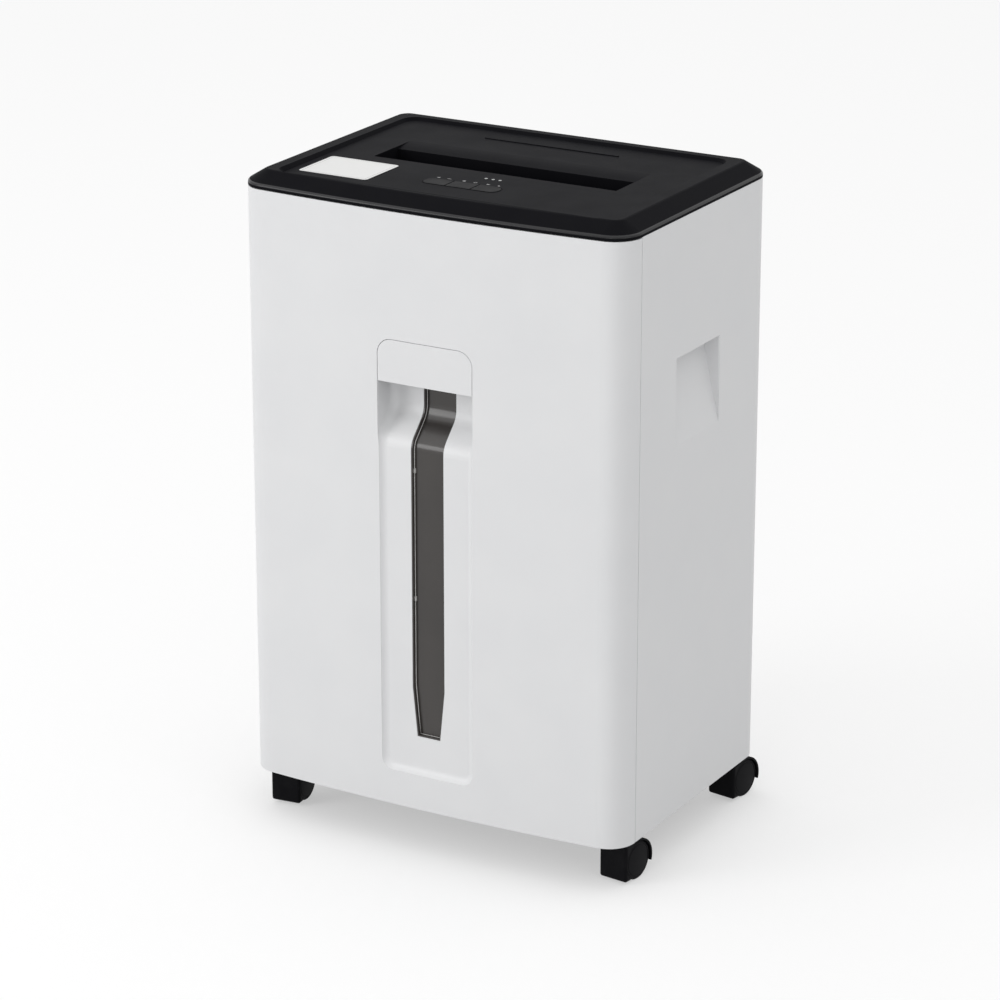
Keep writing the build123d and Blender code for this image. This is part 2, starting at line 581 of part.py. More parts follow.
def cutter(name, y, first_x, count, ends):
    """A hexagonal shaft with round journals and its row of cutter discs."""
    shaft = Pos(0, y, SHAFT_Z) * prism_x(hexagon(HEX_ACROSS), (-HEX_END_X, HEX_END_X))
    shaft += rod_x(y, SHAFT_Z, ends, JOURNAL)
    save(f"cutter_shaft_{name}", shaft)
    discs = []
    for index in range(count):
        x = first_x + index * DISC_PITCH
        outline = saw_disc(index * math.radians(360 / DISC_TEETH / DISC_TURNS))
        discs.append(Pos(0, y, SHAFT_Z) * prism_x(outline, (x - DISC_THICKNESS / 2, x + DISC_THICKNESS / 2)))
    save(f"cutter_discs_{name}", *discs)


COMB_BAR_Y = (41.0, 48.0)
COMB_BAR_HALF = 7.0
FINGER_Y = (29.6, 42.0)
FINGER_HALF = 4.0
FINGER_THICKNESS = 2.4


def stripper_comb(side, first_x, count):
    """Fixed comb whose fingers clear the paper from between the discs of one shaft."""
    comb = block((-PLATE_X[0], PLATE_X[0]), COMB_BAR_Y, (SHAFT_Z - COMB_BAR_HALF, SHAFT_Z + COMB_BAR_HALF))
    finger_z = (SHAFT_Z - FINGER_HALF, SHAFT_Z + FINGER_HALF)
    for index in range(count):
        x = first_x + index * DISC_PITCH
        comb += block((x - FINGER_THICKNESS / 2, x + FINGER_THICKNESS / 2), FINGER_Y, finger_z)
    return comb if side > 0 else mirror(comb, Plane.XZ)


FRONT_DISCS = 38
front_first_x = -(FRONT_DISCS - 1) / 2 * DISC_PITCH
rear_first_x = front_first_x + DISC_PITCH / 2
cutter("front", -SHAFT_Y, front_first_x, FRONT_DISCS, (-PLATE_X[1] - 1, SYNC_X[1] + 1))
cutter("rear", SHAFT_Y, rear_first_x, FRONT_DISCS - 1, (DRIVE_X[0] - 1, SYNC_X[1] + 1))
save("stripper_combs", stripper_comb(-1, rear_first_x, FRONT_DISCS - 1),
     stripper_comb(1, front_first_x + DISC_PITCH, FRONT_DISCS - 2))

drive_distance = DRIVE_MODULE * (DRIVE_TEETH + IDLER_SMALL_TEETH) / 2
pinion_distance = PINION_MODULE * (IDLER_LARGE_TEETH + PINION_TEETH) / 2
motor_to_shaft = Vector(SHAFT_Y - MOTOR_Y, SHAFT_Z - MOTOR_Z)
span = motor_to_shaft.length
along = (pinion_distance ** 2 - drive_distance ** 2 + span ** 2) / (2 * span)
across = math.sqrt(pinion_distance ** 2 - along ** 2)
unit = motor_to_shaft / span
IDLER_Y = MOTOR_Y + along * unit.X + across * unit.Y
IDLER_Z = MOTOR_Z + along * unit.Y - across * unit.X

BUSH_RADIUS = 10.0
right_plate = block(PLATE_X, (-PLATE_Y, PLATE_Y), PLATE_Z)
left_plate = block((-PLATE_X[1], -PLATE_X[0]), (-PLATE_Y, LEFT_PLATE_REAR_Y), PLATE_Z)
bushes = []
for y in (-SHAFT_Y, SHAFT_Y):
    bore = rod_x(y, SHAFT_Z, (-far, far), BUSH_RADIUS + PUSH_FIT)
    right_plate -= bore
    left_plate -= bore
    for x in (PLATE_X, (-PLATE_X[1], -PLATE_X[0])):
        bushes.append(rod_x(y, SHAFT_Z, x, BUSH_RADIUS) - rod_x(y, SHAFT_Z, x, JOURNAL + RUNNING_FIT))
SHAFT_END = 2.0          # how far the motor shaft and the idler stud stand past their gears
left_plate -= rod_x(MOTOR_Y, MOTOR_Z, (-far, far), 1.5 * MOTOR_SHAFT)
left_plate += rod_x(IDLER_Y, IDLER_Z, (PINION_X[0] - SHAFT_END, -PLATE_X[0]), MOTOR_SHAFT)
save("head_plate_right", right_plate)
save("head_plate_left", left_plate)
save("cutter_bushes", *bushes)

TIE_Y = 54.0
TIE_Z = (422.0, 500.0)
TIE_RADIUS = 5.0
tie_ends = (-PLATE_X[0], PLATE_X[0])
save("tie_bars", *[rod_x(y, z, tie_ends, TIE_RADIUS) for y in (-TIE_Y, TIE_Y) for z in TIE_Z])
MOUNT_Y = 50.0
MOUNT_RADIUS = 9.0
mount_z = (DECK_Z[1], PLATE_Z[0])
mounts = [rod_z(x, y, mount_z, MOUNT_RADIUS) for x in (-PLATE_X[1], PLATE_X[1]) for y in (-MOUNT_Y, MOUNT_Y)]
save("rubber_mounts", *mounts)


def throat_solid(grow):
    """Funnel between the lid's slot and the cutters, drawn in (y, z)."""
    top = SLOT_HALF_WIDTH + grow
    exit_half = THROAT_EXIT + grow
    face = polygon((-top, COLLAR_Z), (-top, THROAT_Z[1]), (-exit_half, THROAT_Z[0]), (exit_half, THROAT_Z[0]),
                   (top, THROAT_Z[1]), (top, COLLAR_Z))
    return prism_x(face, (-THROAT_HALF_LENGTH - grow, THROAT_HALF_LENGTH + grow))


save("paper_throat", throat_solid(THROAT_WALL) - throat_solid(0))
PAPER_SENSOR_X = (-72.0, -56.0)
PAPER_SENSOR_Y = (-30.0, -SLOT_HALF_WIDTH - THROAT_WALL)
PAPER_SENSOR_Z = (531.0, 546.0)
save("paper_sensor", block(PAPER_SENSOR_X, PAPER_SENSOR_Y, PAPER_SENSOR_Z))


# Gears
TOOTH_SHARE = 0.42       # tooth thickness as a share of the pitch, the rest being the gap and backlash
TOOTH_TOP = 0.75         # in modules, above the pitch circle
TOOTH_ROOT = -1.1
PRESSURE_ANGLE = 20.0


def gear_face(teeth, module, phase):
    """Spur gear outline with straight-sided stub teeth and backlash, drawn in (y, z)."""
    pitch_radius = teeth * module / 2
    step = 2 * math.pi / teeth
    half_tooth = TOOTH_SHARE * math.pi * module / 2
    points = []
    for tooth in range(teeth):
        centre = phase + tooth * step
        for radius, side in ((TOOTH_ROOT, -1), (TOOTH_TOP, -1), (TOOTH_TOP, 1), (TOOTH_ROOT, 1)):
            reach = pitch_radius + radius * module
            lean = half_tooth - radius * module * math.tan(math.radians(PRESSURE_ANGLE))
            angle = centre + side * lean / reach
            points.append((reach * math.cos(angle), reach * math.sin(angle)))
    return polygon(*points)


def meshed_phase(phase, teeth, start, follower_teeth, end):
    """Phase of a gear whose gap meets the other gear's tooth on the line between their centres."""
    direction = math.atan2(end[1] - start[1], end[0] - start[0])
    position = (direction - phase) / (2 * math.pi / teeth)
    return direction + math.pi - (2 * math.pi / follower_teeth) * (0.5 - position)


def gear(teeth, module, phase, centre, x, bore):
    blank = prism_x(Pos(*centre) * gear_face(teeth, module, phase), x)
    return blank - rod_x(centre[0], centre[1], x, bore)


rear_axis = (SHAFT_Y, SHAFT_Z)
front_axis = (-SHAFT_Y, SHAFT_Z)
idler_axis = (IDLER_Y, IDLER_Z)
motor_axis = (MOTOR_Y, MOTOR_Z)
sync_phase = meshed_phase(0, SYNC_TEETH, rear_axis, SYNC_TEETH, front_axis)
save("sync_gear_rear", gear(SYNC_TEETH, SYNC_MODULE, 0, rear_axis, SYNC_X, JOURNAL + PUSH_FIT))
save("sync_gear_front", gear(SYNC_TEETH, SYNC_MODULE, sync_phase, front_axis, SYNC_X, JOURNAL + PUSH_FIT))
save("drive_gear", gear(DRIVE_TEETH, DRIVE_MODULE, 0, rear_axis, DRIVE_X, JOURNAL + PUSH_FIT))
small_phase = meshed_phase(0, DRIVE_TEETH, rear_axis, IDLER_SMALL_TEETH, idler_axis)
idler_bore = MOTOR_SHAFT + RUNNING_FIT
idler = gear(IDLER_SMALL_TEETH, DRIVE_MODULE, small_phase, idler_axis, DRIVE_X, idler_bore)
idler += gear(IDLER_LARGE_TEETH, PINION_MODULE, 0, idler_axis, PINION_X, idler_bore)
HUB_RADIUS = 9.0
hub_x = (PINION_X[1], DRIVE_X[0])
idler += rod_x(IDLER_Y, IDLER_Z, hub_x, HUB_RADIUS) - rod_x(IDLER_Y, IDLER_Z, hub_x, idler_bore)
save("idler_gear", idler)
pinion_phase = meshed_phase(0, IDLER_LARGE_TEETH, idler_axis, PINION_TEETH, motor_axis)
pinion_bore = MOTOR_SHAFT + PUSH_FIT
save("motor_pinion", gear(PINION_TEETH, PINION_MODULE, pinion_phase, motor_axis, PINION_X, pinion_bore))

COVER_X = -153.0
COVER_WALL = 1.5
COVER_Y = (-30.0, 108.0)
COVER_Z = (414.0, 516.0)
cover = block((COVER_X, -PLATE_X[1]), COVER_Y, COVER_Z)
cover -= block((COVER_X + COVER_WALL, -PLATE_X[1]), (COVER_Y[0] + COVER_WALL, COVER_Y[1] - COVER_WALL),
               (COVER_Z[0] + COVER_WALL, COVER_Z[1] - COVER_WALL))
save("gear_cover", cover)

# Motor
CAN_WALL = 2.5
CAN_END = 4.0
ROTOR_RADIUS = 25.5
ROTOR_X = (-93.0, 7.0)
can = rod_x(MOTOR_Y, MOTOR_Z, MOTOR_X, MOTOR_RADIUS)
can -= rod_x(MOTOR_Y, MOTOR_Z, (MOTOR_X[0] + CAN_END, MOTOR_X[1] - CAN_END), MOTOR_RADIUS - CAN_WALL)
can -= rod_x(MOTOR_Y, MOTOR_Z, MOTOR_X, MOTOR_SHAFT + RUNNING_FIT)
save("motor_can", can)
rotor = rod_x(MOTOR_Y, MOTOR_Z, (PINION_X[0] - SHAFT_END, MOTOR_X[1] + SHAFT_END), MOTOR_SHAFT)
rotor += rod_x(MOTOR_Y, MOTOR_Z, ROTOR_X, ROTOR_RADIUS)
save("motor_rotor", rotor)

# Rear fittings: mains socket and power rocker
FITTING_FLANGE = 1.8
INLET_BACK_Y = 108.0
INLET_FLANGE = 4.0
INLET_MOUTH_HALF = (11.0, 7.5)
INLET_FLOOR_Y = 116.0
PIN_PLACES = ((-7.0, -2.0), (0.0, 3.0), (7.0, -2.0))
PIN_HALF = (1.0, 2.5)
PIN_Y = (115.0, 128.0)


def flanged_block(x, z, back_y, flange):
    """Body of a fitting that is pushed in through the rear panel up to its flange."""
    flange_y = (half_depth, half_depth + FITTING_FLANGE)
    frame = block((x[0] - flange, x[1] + flange), flange_y, (z[0] - flange, z[1] + flange))
    return block(x, (back_y, half_depth), z) + frame


inlet = flanged_block(inlet_x, inlet_z, INLET_BACK_Y, INLET_FLANGE)
inlet -= block((INLET_X - INLET_MOUTH_HALF[0], INLET_X + INLET_MOUTH_HALF[0]), (INLET_FLOOR_Y, far),
               (FITTING_Z - INLET_MOUTH_HALF[1], FITTING_Z + INLET_MOUTH_HALF[1]))
for x, z in PIN_PLACES:
    inlet += block((INLET_X + x - PIN_HALF[0], INLET_X + x + PIN_HALF[0]), PIN_Y,
                   (FITTING_Z + z - PIN_HALF[1], FITTING_Z + z + PIN_HALF[1]))
save("mains_inlet", inlet)

ROCKER_HALF = 5.0
ROCKER_GAP = 0.5
ROCKER_PIN = 1.5
PIN_REACH = 1.4
PIN_END_GAP = 0.3
HOUSING_BACK_Y = 110.0
HOUSING_FLANGE = 2.0
HOUSING_FLOOR_Y = 118.0
HOUSING_MOUTH_HALF = 10.5
ROCKER_SHAPE = ((-3.0, -5.0), (4.5, -9.2), (4.0, 0.0), (4.5, 9.2), (-3.0, 5.0))   # side view about the pivot
rocker_x = (SWITCH_X - ROCKER_HALF, SWITCH_X + ROCKER_HALF)
pivot_x = (rocker_x[0] - PIN_REACH, rocker_x[1] + PIN_REACH)
housing = flanged_block(switch_x, switch_z, HOUSING_BACK_Y, HOUSING_FLANGE)
housing -= block((rocker_x[0] - ROCKER_GAP, rocker_x[1] + ROCKER_GAP), (HOUSING_FLOOR_Y, far),
                 (FITTING_Z - HOUSING_MOUTH_HALF, FITTING_Z + HOUSING_MOUTH_HALF))
pin_hole_x = (pivot_x[0] - PIN_END_GAP, pivot_x[1] + PIN_END_GAP)
housing -= rod_x(ROCKER_PIVOT_Y, FITTING_Z, pin_hole_x, ROCKER_PIN + RUNNING_FIT)
save("switch_housing", housing)
rocker = prism_x(polygon(*ROCKER_SHAPE), rocker_x) + rod_x(0, 0, pivot_x, ROCKER_PIN)
save("power_rocker", Pos(0, ROCKER_PIVOT_Y, FITTING_Z) * Rot(-ROCKER_REST, 0, 0) * rocker)

# Castors, drawn with the swivel axis at x = y = 0 and the wheels trailing towards +Y
wheel_axis = (CASTOR_TRAIL, WHEEL_RADIUS)
hood_top = WHEEL_RADIUS + HOOD_RADIUS
hood_inside = HOOD_RADIUS - HOOD_SHELL
STEM_COLLAR_Z = (hood_top + 0.3, BASE_Z[0])
STEM_COLLAR = 8.0
STEM_Z = (24.0, SOCKET_TOP_Z - 2)
STEM_HOLE_Z = 23.5
WEB_LOW_Z = 5.0
HOOD_CORNER = 2.4


def arc_sector(radius):
    """Pie slice round the wheel centre that the hood covers, drawn in (y, z)."""
    start, end = (math.radians(angle) for angle in HOOD_ARC)
    middle = (start + end) / 2
    rim = [(radius * math.cos(angle), radius * math.sin(angle)) for angle in (start, middle, end)]
    outline = ThreePointArc(*rim) + Polyline(rim[2], (0, 0), rim[0])
    return Pos(*wheel_axis) * make_face(outline)


def hood_solid():
    """Hood with a flat front that hides the wheels, a crescent over their rear and a web between them."""
    full = (-HOOD_HALF, HOOD_HALF)
    hood = prism_x(arc_sector(HOOD_RADIUS), full)
    front = block(full, (HOOD_FRONT_Y, CASTOR_TRAIL), (HOOD_LOW_Z, hood_top))
    soft_edges = front.edges().filter_by(Axis.Z).sort_by(Axis.Y)[:2]
    soft_edges += front.edges().filter_by(Axis.Y).sort_by(Axis.Z)[:2]
    soft_edges += front.faces().sort_by(Axis.Y)[0].edges().filter_by(Axis.X).sort_by(Axis.Z)[:1]
    hood += fillet(soft_edges, HOOD_CORNER)
    hood -= rod_x(*wheel_axis, full, hood_inside)
    web = (-WEB_HALF, WEB_HALF)
    hood += rod_x(*wheel_axis, web, hood_inside + HOOD_SHELL / 2) & block(web, (-far, far), (WEB_LOW_Z, far))
    hood -= rod_x(*wheel_axis, web, AXLE + PUSH_FIT)
    return hood - rod_z(0, 0, (STEM_HOLE_Z, far), STEM_LOWER + RUNNING_FIT)


def wheel_solid():
    """Right-hand wheel: cylindrical tread, domed outer face and a blind axle hole."""
    inner, outer = WHEEL_X
    bevel = 0.6
    profile = polygon((0, inner), (WHEEL_RADIUS - bevel, inner), (WHEEL_RADIUS, inner + bevel),
                      (WHEEL_RADIUS, outer - 2.2), (WHEEL_RADIUS - bevel, outer - 1.0),
                      (WHEEL_RADIUS - 2.4, outer - 0.5), (0, outer))
    turned = revolve(Plane.XZ * profile, Axis.Z)
    wheel = Pos(0, *wheel_axis) * Rot(0, 90, 0) * turned
    return wheel - rod_x(*wheel_axis, (inner, outer - HUB_FACE), AXLE + RUNNING_FIT)


hood = hood_solid()
wheel_right = wheel_solid()
wheel_left = mirror(wheel_right, Plane.YZ)
axle_end = WHEEL_X[1] - HUB_FACE - AXLE_END_GAP
axle = rod_x(*wheel_axis, (-axle_end, axle_end), AXLE)
stem = rod_z(0, 0, (STEM_Z[0], STEM_COLLAR_Z[0]), STEM_LOWER)
stem += rod_z(0, 0, STEM_COLLAR_Z, STEM_COLLAR)
stem += rod_z(0, 0, (BASE_Z[0], STEM_Z[1]), STEM_UPPER)
stems = []
for name, (x, y) in castor_places.items():
    place = Pos(x, y, 0) * Rot(0, 0, CASTOR_ANGLES[name])
    stems.append(Pos(x, y, 0) * stem)
    save(f"castor_hood_{name}", place * hood)
    save(f"castor_axle_{name}", place * axle)
    save(f"castor_wheel_{name}_inner", place * (wheel_left if "right" in name else wheel_right))
    save(f"castor_wheel_{name}_outer", place * (wheel_right if "right" in name else wheel_left))
save("castor_stems", *stems)
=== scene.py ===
import math

import bmesh
import bpy
from mathutils import Matrix, Vector
from mathutils.bvhtree import BVHTree
from mathutils.geometry import barycentric_transform


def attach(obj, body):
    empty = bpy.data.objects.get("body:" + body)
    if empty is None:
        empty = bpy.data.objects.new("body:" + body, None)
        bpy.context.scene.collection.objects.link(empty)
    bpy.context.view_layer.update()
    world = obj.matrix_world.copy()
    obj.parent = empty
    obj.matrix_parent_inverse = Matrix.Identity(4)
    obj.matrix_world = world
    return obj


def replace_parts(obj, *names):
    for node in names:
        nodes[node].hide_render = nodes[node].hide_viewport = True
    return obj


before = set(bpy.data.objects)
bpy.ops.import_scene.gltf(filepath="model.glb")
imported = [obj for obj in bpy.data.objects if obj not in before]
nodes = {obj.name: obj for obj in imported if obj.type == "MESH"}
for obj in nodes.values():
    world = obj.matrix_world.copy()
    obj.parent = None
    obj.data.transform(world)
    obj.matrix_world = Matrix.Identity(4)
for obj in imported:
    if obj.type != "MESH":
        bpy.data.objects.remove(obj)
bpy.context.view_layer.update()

# Castors: four twin-wheel castors in black nylon. Each has a moulded hood with a flat front that hides its
# wheels, a steel axle pressed through the hood's web and two plain wheels with a slightly domed face. The
# plated stems are pushed into sockets in the base. Sizes are millimetres, here and below.
MM = 0.001
CASTOR_PLACES = {"front_left": (-161.0, -91.0, 6.0), "front_right": (161.0, -91.0, -7.0),
                 "rear_left": (-161.0, 106.5, 8.0), "rear_right": (161.0, 106.5, -9.0)}   # x, y, turn
CASTOR_TRAIL = 9.5
WHEEL_RADIUS = 17.0
WHEEL_PROFILE = ((0.0, 4.85), (15.6, 4.85), (16.5, 5.1), (16.95, 5.8), (16.95, 10.4), (16.8, 11.2),
                 (16.4, 11.8), (15.8, 12.2), (15.0, 12.4), (14.5, 12.35), (14.25, 12.1), (13.9, 12.1),
                 (13.6, 12.4), (12.8, 12.55), (9.0, 12.8), (4.6, 13.0), (0.0, 13.1))   # radius, way out
WHEEL_STEPS = 72
HOOD_ROUND = 0.5


def finish(name, shades, gloss, cloud, grain, relief, metal=0.0, stretch=(1.0, 1.0, 1.0), sheen=0.5):
    """Procedural surface: cloudy colour between two shades, uneven gloss and a fine raised grain."""
    material = bpy.data.materials.new(name)
    material.use_nodes = True
    tree = material.node_tree
    shader = tree.nodes["Principled BSDF"]
    shader.inputs["Metallic"].default_value = metal
    shader.inputs["Specular IOR Level"].default_value = sheen
    place = tree.nodes.new("ShaderNodeTexCoord")
    spread = tree.nodes.new("ShaderNodeMapping")
    spread.inputs["Scale"].default_value = stretch
    tree.links.new(place.outputs["Object"], spread.inputs["Vector"])
    patches = tree.nodes.new("ShaderNodeTexNoise")
    patches.inputs["Scale"].default_value = 1 / (cloud * MM)
    patches.inputs["Detail"].default_value = 5.0
    tint = tree.nodes.new("ShaderNodeValToRGB")
    for stop, position, shade in zip(tint.color_ramp.elements, (0.3, 0.7), shades):
        stop.position = position
        stop.color = (*shade, 1.0)
    shine = tree.nodes.new("ShaderNodeMapRange")
    shine.inputs["From Min"].default_value = 0.3
    shine.inputs["From Max"].default_value = 0.7
    shine.inputs["To Min"].default_value = gloss[0]
    shine.inputs["To Max"].default_value = gloss[1]
    pores = tree.nodes.new("ShaderNodeTexNoise")
    pores.inputs["Scale"].default_value = 1 / (grain * MM)
    pores.inputs["Detail"].default_value = 2.0
    bump = tree.nodes.new("ShaderNodeBump")
    bump.inputs["Strength"].default_value = 1.0
    bump.inputs["Distance"].default_value = relief * MM
    for texture in (patches, pores):
        tree.links.new(spread.outputs["Vector"], texture.inputs["Vector"])
    tree.links.new(patches.outputs["Fac"], tint.inputs["Fac"])
    tree.links.new(tint.outputs["Color"], shader.inputs["Base Color"])
    tree.links.new(patches.outputs["Fac"], shine.inputs["Value"])
    tree.links.new(shine.outputs["Result"], shader.inputs["Roughness"])
    tree.links.new(pores.outputs["Fac"], bump.inputs["Height"])
    tree.links.new(bump.outputs["Normal"], shader.inputs["Normal"])
    return material


def dress(material, *names):
    """Gives CAD pieces that are shown as they are their surface."""
    for name in names:
        nodes[name].data.materials.clear()
        nodes[name].data.materials.append(material)


def true_normals(mesh, node):
    """Normals of the exact CAD surface for every corner that still lies on it, the mesh's own elsewhere."""
    solid = nodes[node].data
    exact = [corner.vector.copy() for corner in solid.corner_normals]
    points = [vertex.co.copy() for vertex in solid.vertices]
    finder = BVHTree.FromPolygons(points, [face.vertices for face in solid.polygons])
    normals = [corner.vector.copy() for corner in mesh.corner_normals]
    for face in mesh.polygons:
        for corner in face.loop_indices:
            point = mesh.vertices[mesh.loops[corner].vertex_index].co
            closest = math.cos(math.radians(25))
            for spot, flat, index, distance in finder.find_nearest_range(point, 2e-5):
                triangle = solid.polygons[index]
                ends = [points[vertex] for vertex in triangle.vertices]
                leaning = [exact[loop] for loop in triangle.loop_indices]
                normal = barycentric_transform(spot, *ends, *leaning).normalized()
                if normal.dot(face.normal) > closest:
                    closest = normal.dot(face.normal)
                    normals[corner] = normal
    return normals


def show(skin, name, body, slot, *materials, like=None):
    """Turns a mesh into a piece that moves with its body, and shades like the CAD piece it stands for."""
    mesh = bpy.data.meshes.new(name)
    skin.to_mesh(mesh)
    skin.free()
    mesh.shade_smooth()
    mesh.set_sharp_from_angle(angle=math.radians(32))
    for material in materials:
        mesh.materials.append(material)
    piece = bpy.data.objects.new(name, mesh)
    bpy.context.scene.collection.objects.link(piece)
    if like:
        mesh.normals_split_custom_set(true_normals(mesh, like))
        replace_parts(piece, like)
    else:
        even = piece.modifiers.new("even_normals", "WEIGHTED_NORMAL")
        even.keep_sharp = True
    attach(piece, body)
    return piece


def whole_faces(node):
    """Skin of a CAD piece with its triangles joined into whole faces."""
    skin = bmesh.new()
    skin.from_mesh(nodes[node].data)
    bmesh.ops.remove_doubles(skin, verts=skin.verts, dist=1e-6)
    bmesh.ops.dissolve_limit(skin, angle_limit=math.radians(0.3), verts=skin.verts, edges=skin.edges)
    return skin


def round_edges(skin, width, steps, wanted=None, sharper=28.0):
    """Rounds off the sharp edges whose middle, in millimetres, passes the test."""
    chosen = []
    for edge in skin.edges:
        if edge.is_manifold and edge.calc_face_angle() > math.radians(sharper):
            middle = (edge.verts[0].co + edge.verts[1].co) / 2 / MM
            if wanted is None or wanted(middle):
                chosen.append(edge)
    bmesh.ops.bevel(skin, geom=chosen, offset=width * MM, offset_type="OFFSET", segments=steps, profile=0.5,
                    affect="EDGES", clamp_overlap=True)


def turned_rings(skin, profile, steps, place):
    """Adds rings of (radius, distance along X) pairs to a mesh, joins them and returns them."""
    rings = []
    for radius, along in profile:
        ring = []
        for step in range(steps if radius else 1):
            turn = 2 * math.pi * step / steps
            spot = Vector((along, radius * math.cos(turn), radius * math.sin(turn)))
            ring.append(skin.verts.new(place @ (spot * MM)))
        rings.append(ring)
    for lower, upper in zip(rings, rings[1:]):
        for step in range(steps):
            after = (step + 1) % steps
            corners = [lower[step % len(lower)], lower[after % len(lower)]]
            corners += [upper[after % len(upper)], upper[step % len(upper)]]
            skin.faces.new(list(dict.fromkeys(corners)))
    return rings


nylon = finish("castor_nylon", ((0.004, 0.004, 0.005), (0.007, 0.007, 0.008)), (0.38, 0.48), 12.0, 0.7,
               0.01, sheen=0.045)
zinc = finish("zinc_plate", ((0.42, 0.43, 0.45), (0.62, 0.62, 0.62)), (0.24, 0.4), 3.0, 0.4, 0.004,
              metal=1.0)
for name, (x, y, turn) in CASTOR_PLACES.items():
    body = f"castor_{name}"
    hood = whole_faces(f"castor_hood_{name}")
    round_edges(hood, HOOD_ROUND, 2)
    show(hood, f"hood_{name}", body, "castor_black", nylon, like=f"castor_hood_{name}")
    stem = Matrix.Translation(Vector((x, y, 0)) * MM) @ Matrix.Rotation(math.radians(turn), 4, "Z")
    axle = stem @ Matrix.Translation(Vector((0, CASTOR_TRAIL, WHEEL_RADIUS)) * MM)
    for side in ("inner", "outer"):
        faces_right = (side == "outer") == (x > 0)
        way = axle if faces_right else axle @ Matrix.Rotation(math.pi, 4, "Z")
        wheel = bmesh.new()
        turned_rings(wheel, WHEEL_PROFILE, WHEEL_STEPS, way)
        bmesh.ops.recalc_face_normals(wheel, faces=wheel.faces)
        piece = show(wheel, f"tyre_{name}_{side}", f"wheel_{name}_{side}", "castor_black", nylon)
        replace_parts(piece, f"castor_wheel_{name}_{side}")
dress(zinc, "castor_stems", *[f"castor_axle_{name}" for name in CASTOR_PLACES])

# Base: a black moulded pan that closes the cabinet from below and holds the castor stems, with two glued-in
# rails that the waste bin slides on. Both are satin polypropylene.
satin_black = finish("satin_black", ((0.0115, 0.0115, 0.0125), (0.0135, 0.0135, 0.0145)), (0.42, 0.5), 25.0,
                     1.0, 0.02, sheen=0.25)
dress(satin_black, "base_pan", "bin_rails")

# Cabinet: two white side panels that wrap round the rear corners and a flat rear panel, moulded in white
# ABS with a satin skin. Each side has a hand grip let into it. The rear panel is screwed to bosses on the
# base and the deck with four cross-head screws.
BODY_HALF = (180.0, 130.0)      # x, y
REAR_SEAM_X = 150.0
GRIP_Y = (-37.0, 38.0)
GRIP_Z = (364.0, 437.0)
GRIP_ROUND = 1.6
PANEL_ROUND = 0.6
BACK_ROUND = 0.4
CASE_SCREWS = ((-100.0, 55.0), (100.0, 55.0), (-130.0, 408.0), (130.0, 408.0))   # x, z
CASE_SCREW_Y = (119.0, 130.0)   # tip, seat of the head
SCREW_TURN = (0.4, 0.9)         # of the first screw's cross, and from each screw to the next
SCREW_SHANK = 1.75
SCREW_HEAD = (3.6, 1.6)         # radius, height
SCREW_CROSS = (1.9, 0.42, 0.9)  # reach, half width and depth of the cross recess
SCREW_STEPS = 36
white_abs = finish("white_abs", ((0.712, 0.716, 0.726), (0.732, 0.735, 0.742)), (0.36, 0.44), 60.0, 0.9,
                   0.006)


def near_grip(middle, aside, below, above):
    """Whether a spot lies within the grip's outline, widened by these margins."""
    return (GRIP_Y[0] - aside < middle.y < GRIP_Y[1] + aside
            and GRIP_Z[0] - below < middle.z < GRIP_Z[1] + above)


def on_grip(middle):
    return abs(middle.x) > BODY_HALF[0] - 1 and near_grip(middle, 1, 1, 1)


def off_grip(middle):
    return abs(middle.x) > REAR_SEAM_X - 2 and not near_grip(middle, 4, 15, 6)


def screws(places, tip_y, seat_y):
    """Cross-head screws, driven in from +Y, each one turned to its own angle."""
    skin = bmesh.new()
    head, height = SCREW_HEAD
    reach, half, depth = SCREW_CROSS
    top_y = seat_y + height
    profile = ((0.0, tip_y), (SCREW_SHANK - 0.5, tip_y), (SCREW_SHANK, tip_y + 0.8), (SCREW_SHANK, seat_y),
               (head, seat_y), (head, seat_y + 0.45 * height), (head - 0.25, seat_y + 0.75 * height),
               (head - 0.8, seat_y + 0.95 * height), (head - 1.3, top_y))
    arm = ((reach, -half), (reach, half), (half, half))
    for index, (x, z) in enumerate(places):
        place = Matrix.Translation(Vector((x, 0, z)) * MM) @ Matrix.Rotation(math.pi / 2, 4, "Z")
        top = turned_rings(skin, profile, SCREW_STEPS, place)[-1]
        rim, floor = [], []
        for quarter in range(4):
            turn = SCREW_TURN[0] + SCREW_TURN[1] * index + math.pi / 2 * quarter
            for u, v in arm:
                across = x + u * math.cos(turn) - v * math.sin(turn)
                up = z + u * math.sin(turn) + v * math.cos(turn)
                rim.append(skin.verts.new(Vector((across, top_y, up)) * MM))
                floor.append(skin.verts.new(Vector((across, top_y - depth, up)) * MM))
        edges = []
        for loop in (top, rim):
            for start, end in zip(loop, loop[1:] + loop[:1]):
                edges.append(skin.edges.get((start, end)) or skin.edges.new((start, end)))
        bmesh.ops.triangle_fill(skin, edges=edges, use_beauty=True)
        for start in range(len(rim)):
            end = (start + 1) % len(rim)
            skin.faces.new((rim[start], rim[end], floor[end], floor[start]))
        skin.faces.new(floor)
    bmesh.ops.recalc_face_normals(skin, faces=skin.faces)
    return skin


for side in ("left", "right"):
    panel = whole_faces(f"{side}_side_panel")
    round_edges(panel, GRIP_ROUND, 3, on_grip, 15.0)
    round_edges(panel, PANEL_ROUND, 2, off_grip)
    show(panel, f"side_{side}", "cabinet", "white_shell", white_abs, like=f"{side}_side_panel")
back = whole_faces("rear_panel")
round_edges(back, BACK_ROUND, 2)
show(back, "back_sheet", "cabinet", "white_shell", white_abs, like="rear_panel")
rear_screws = screws(CASE_SCREWS, *CASE_SCREW_Y)
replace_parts(show(rear_screws, "back_screws", "cabinet", "plated_steel", zinc), "case_screws")

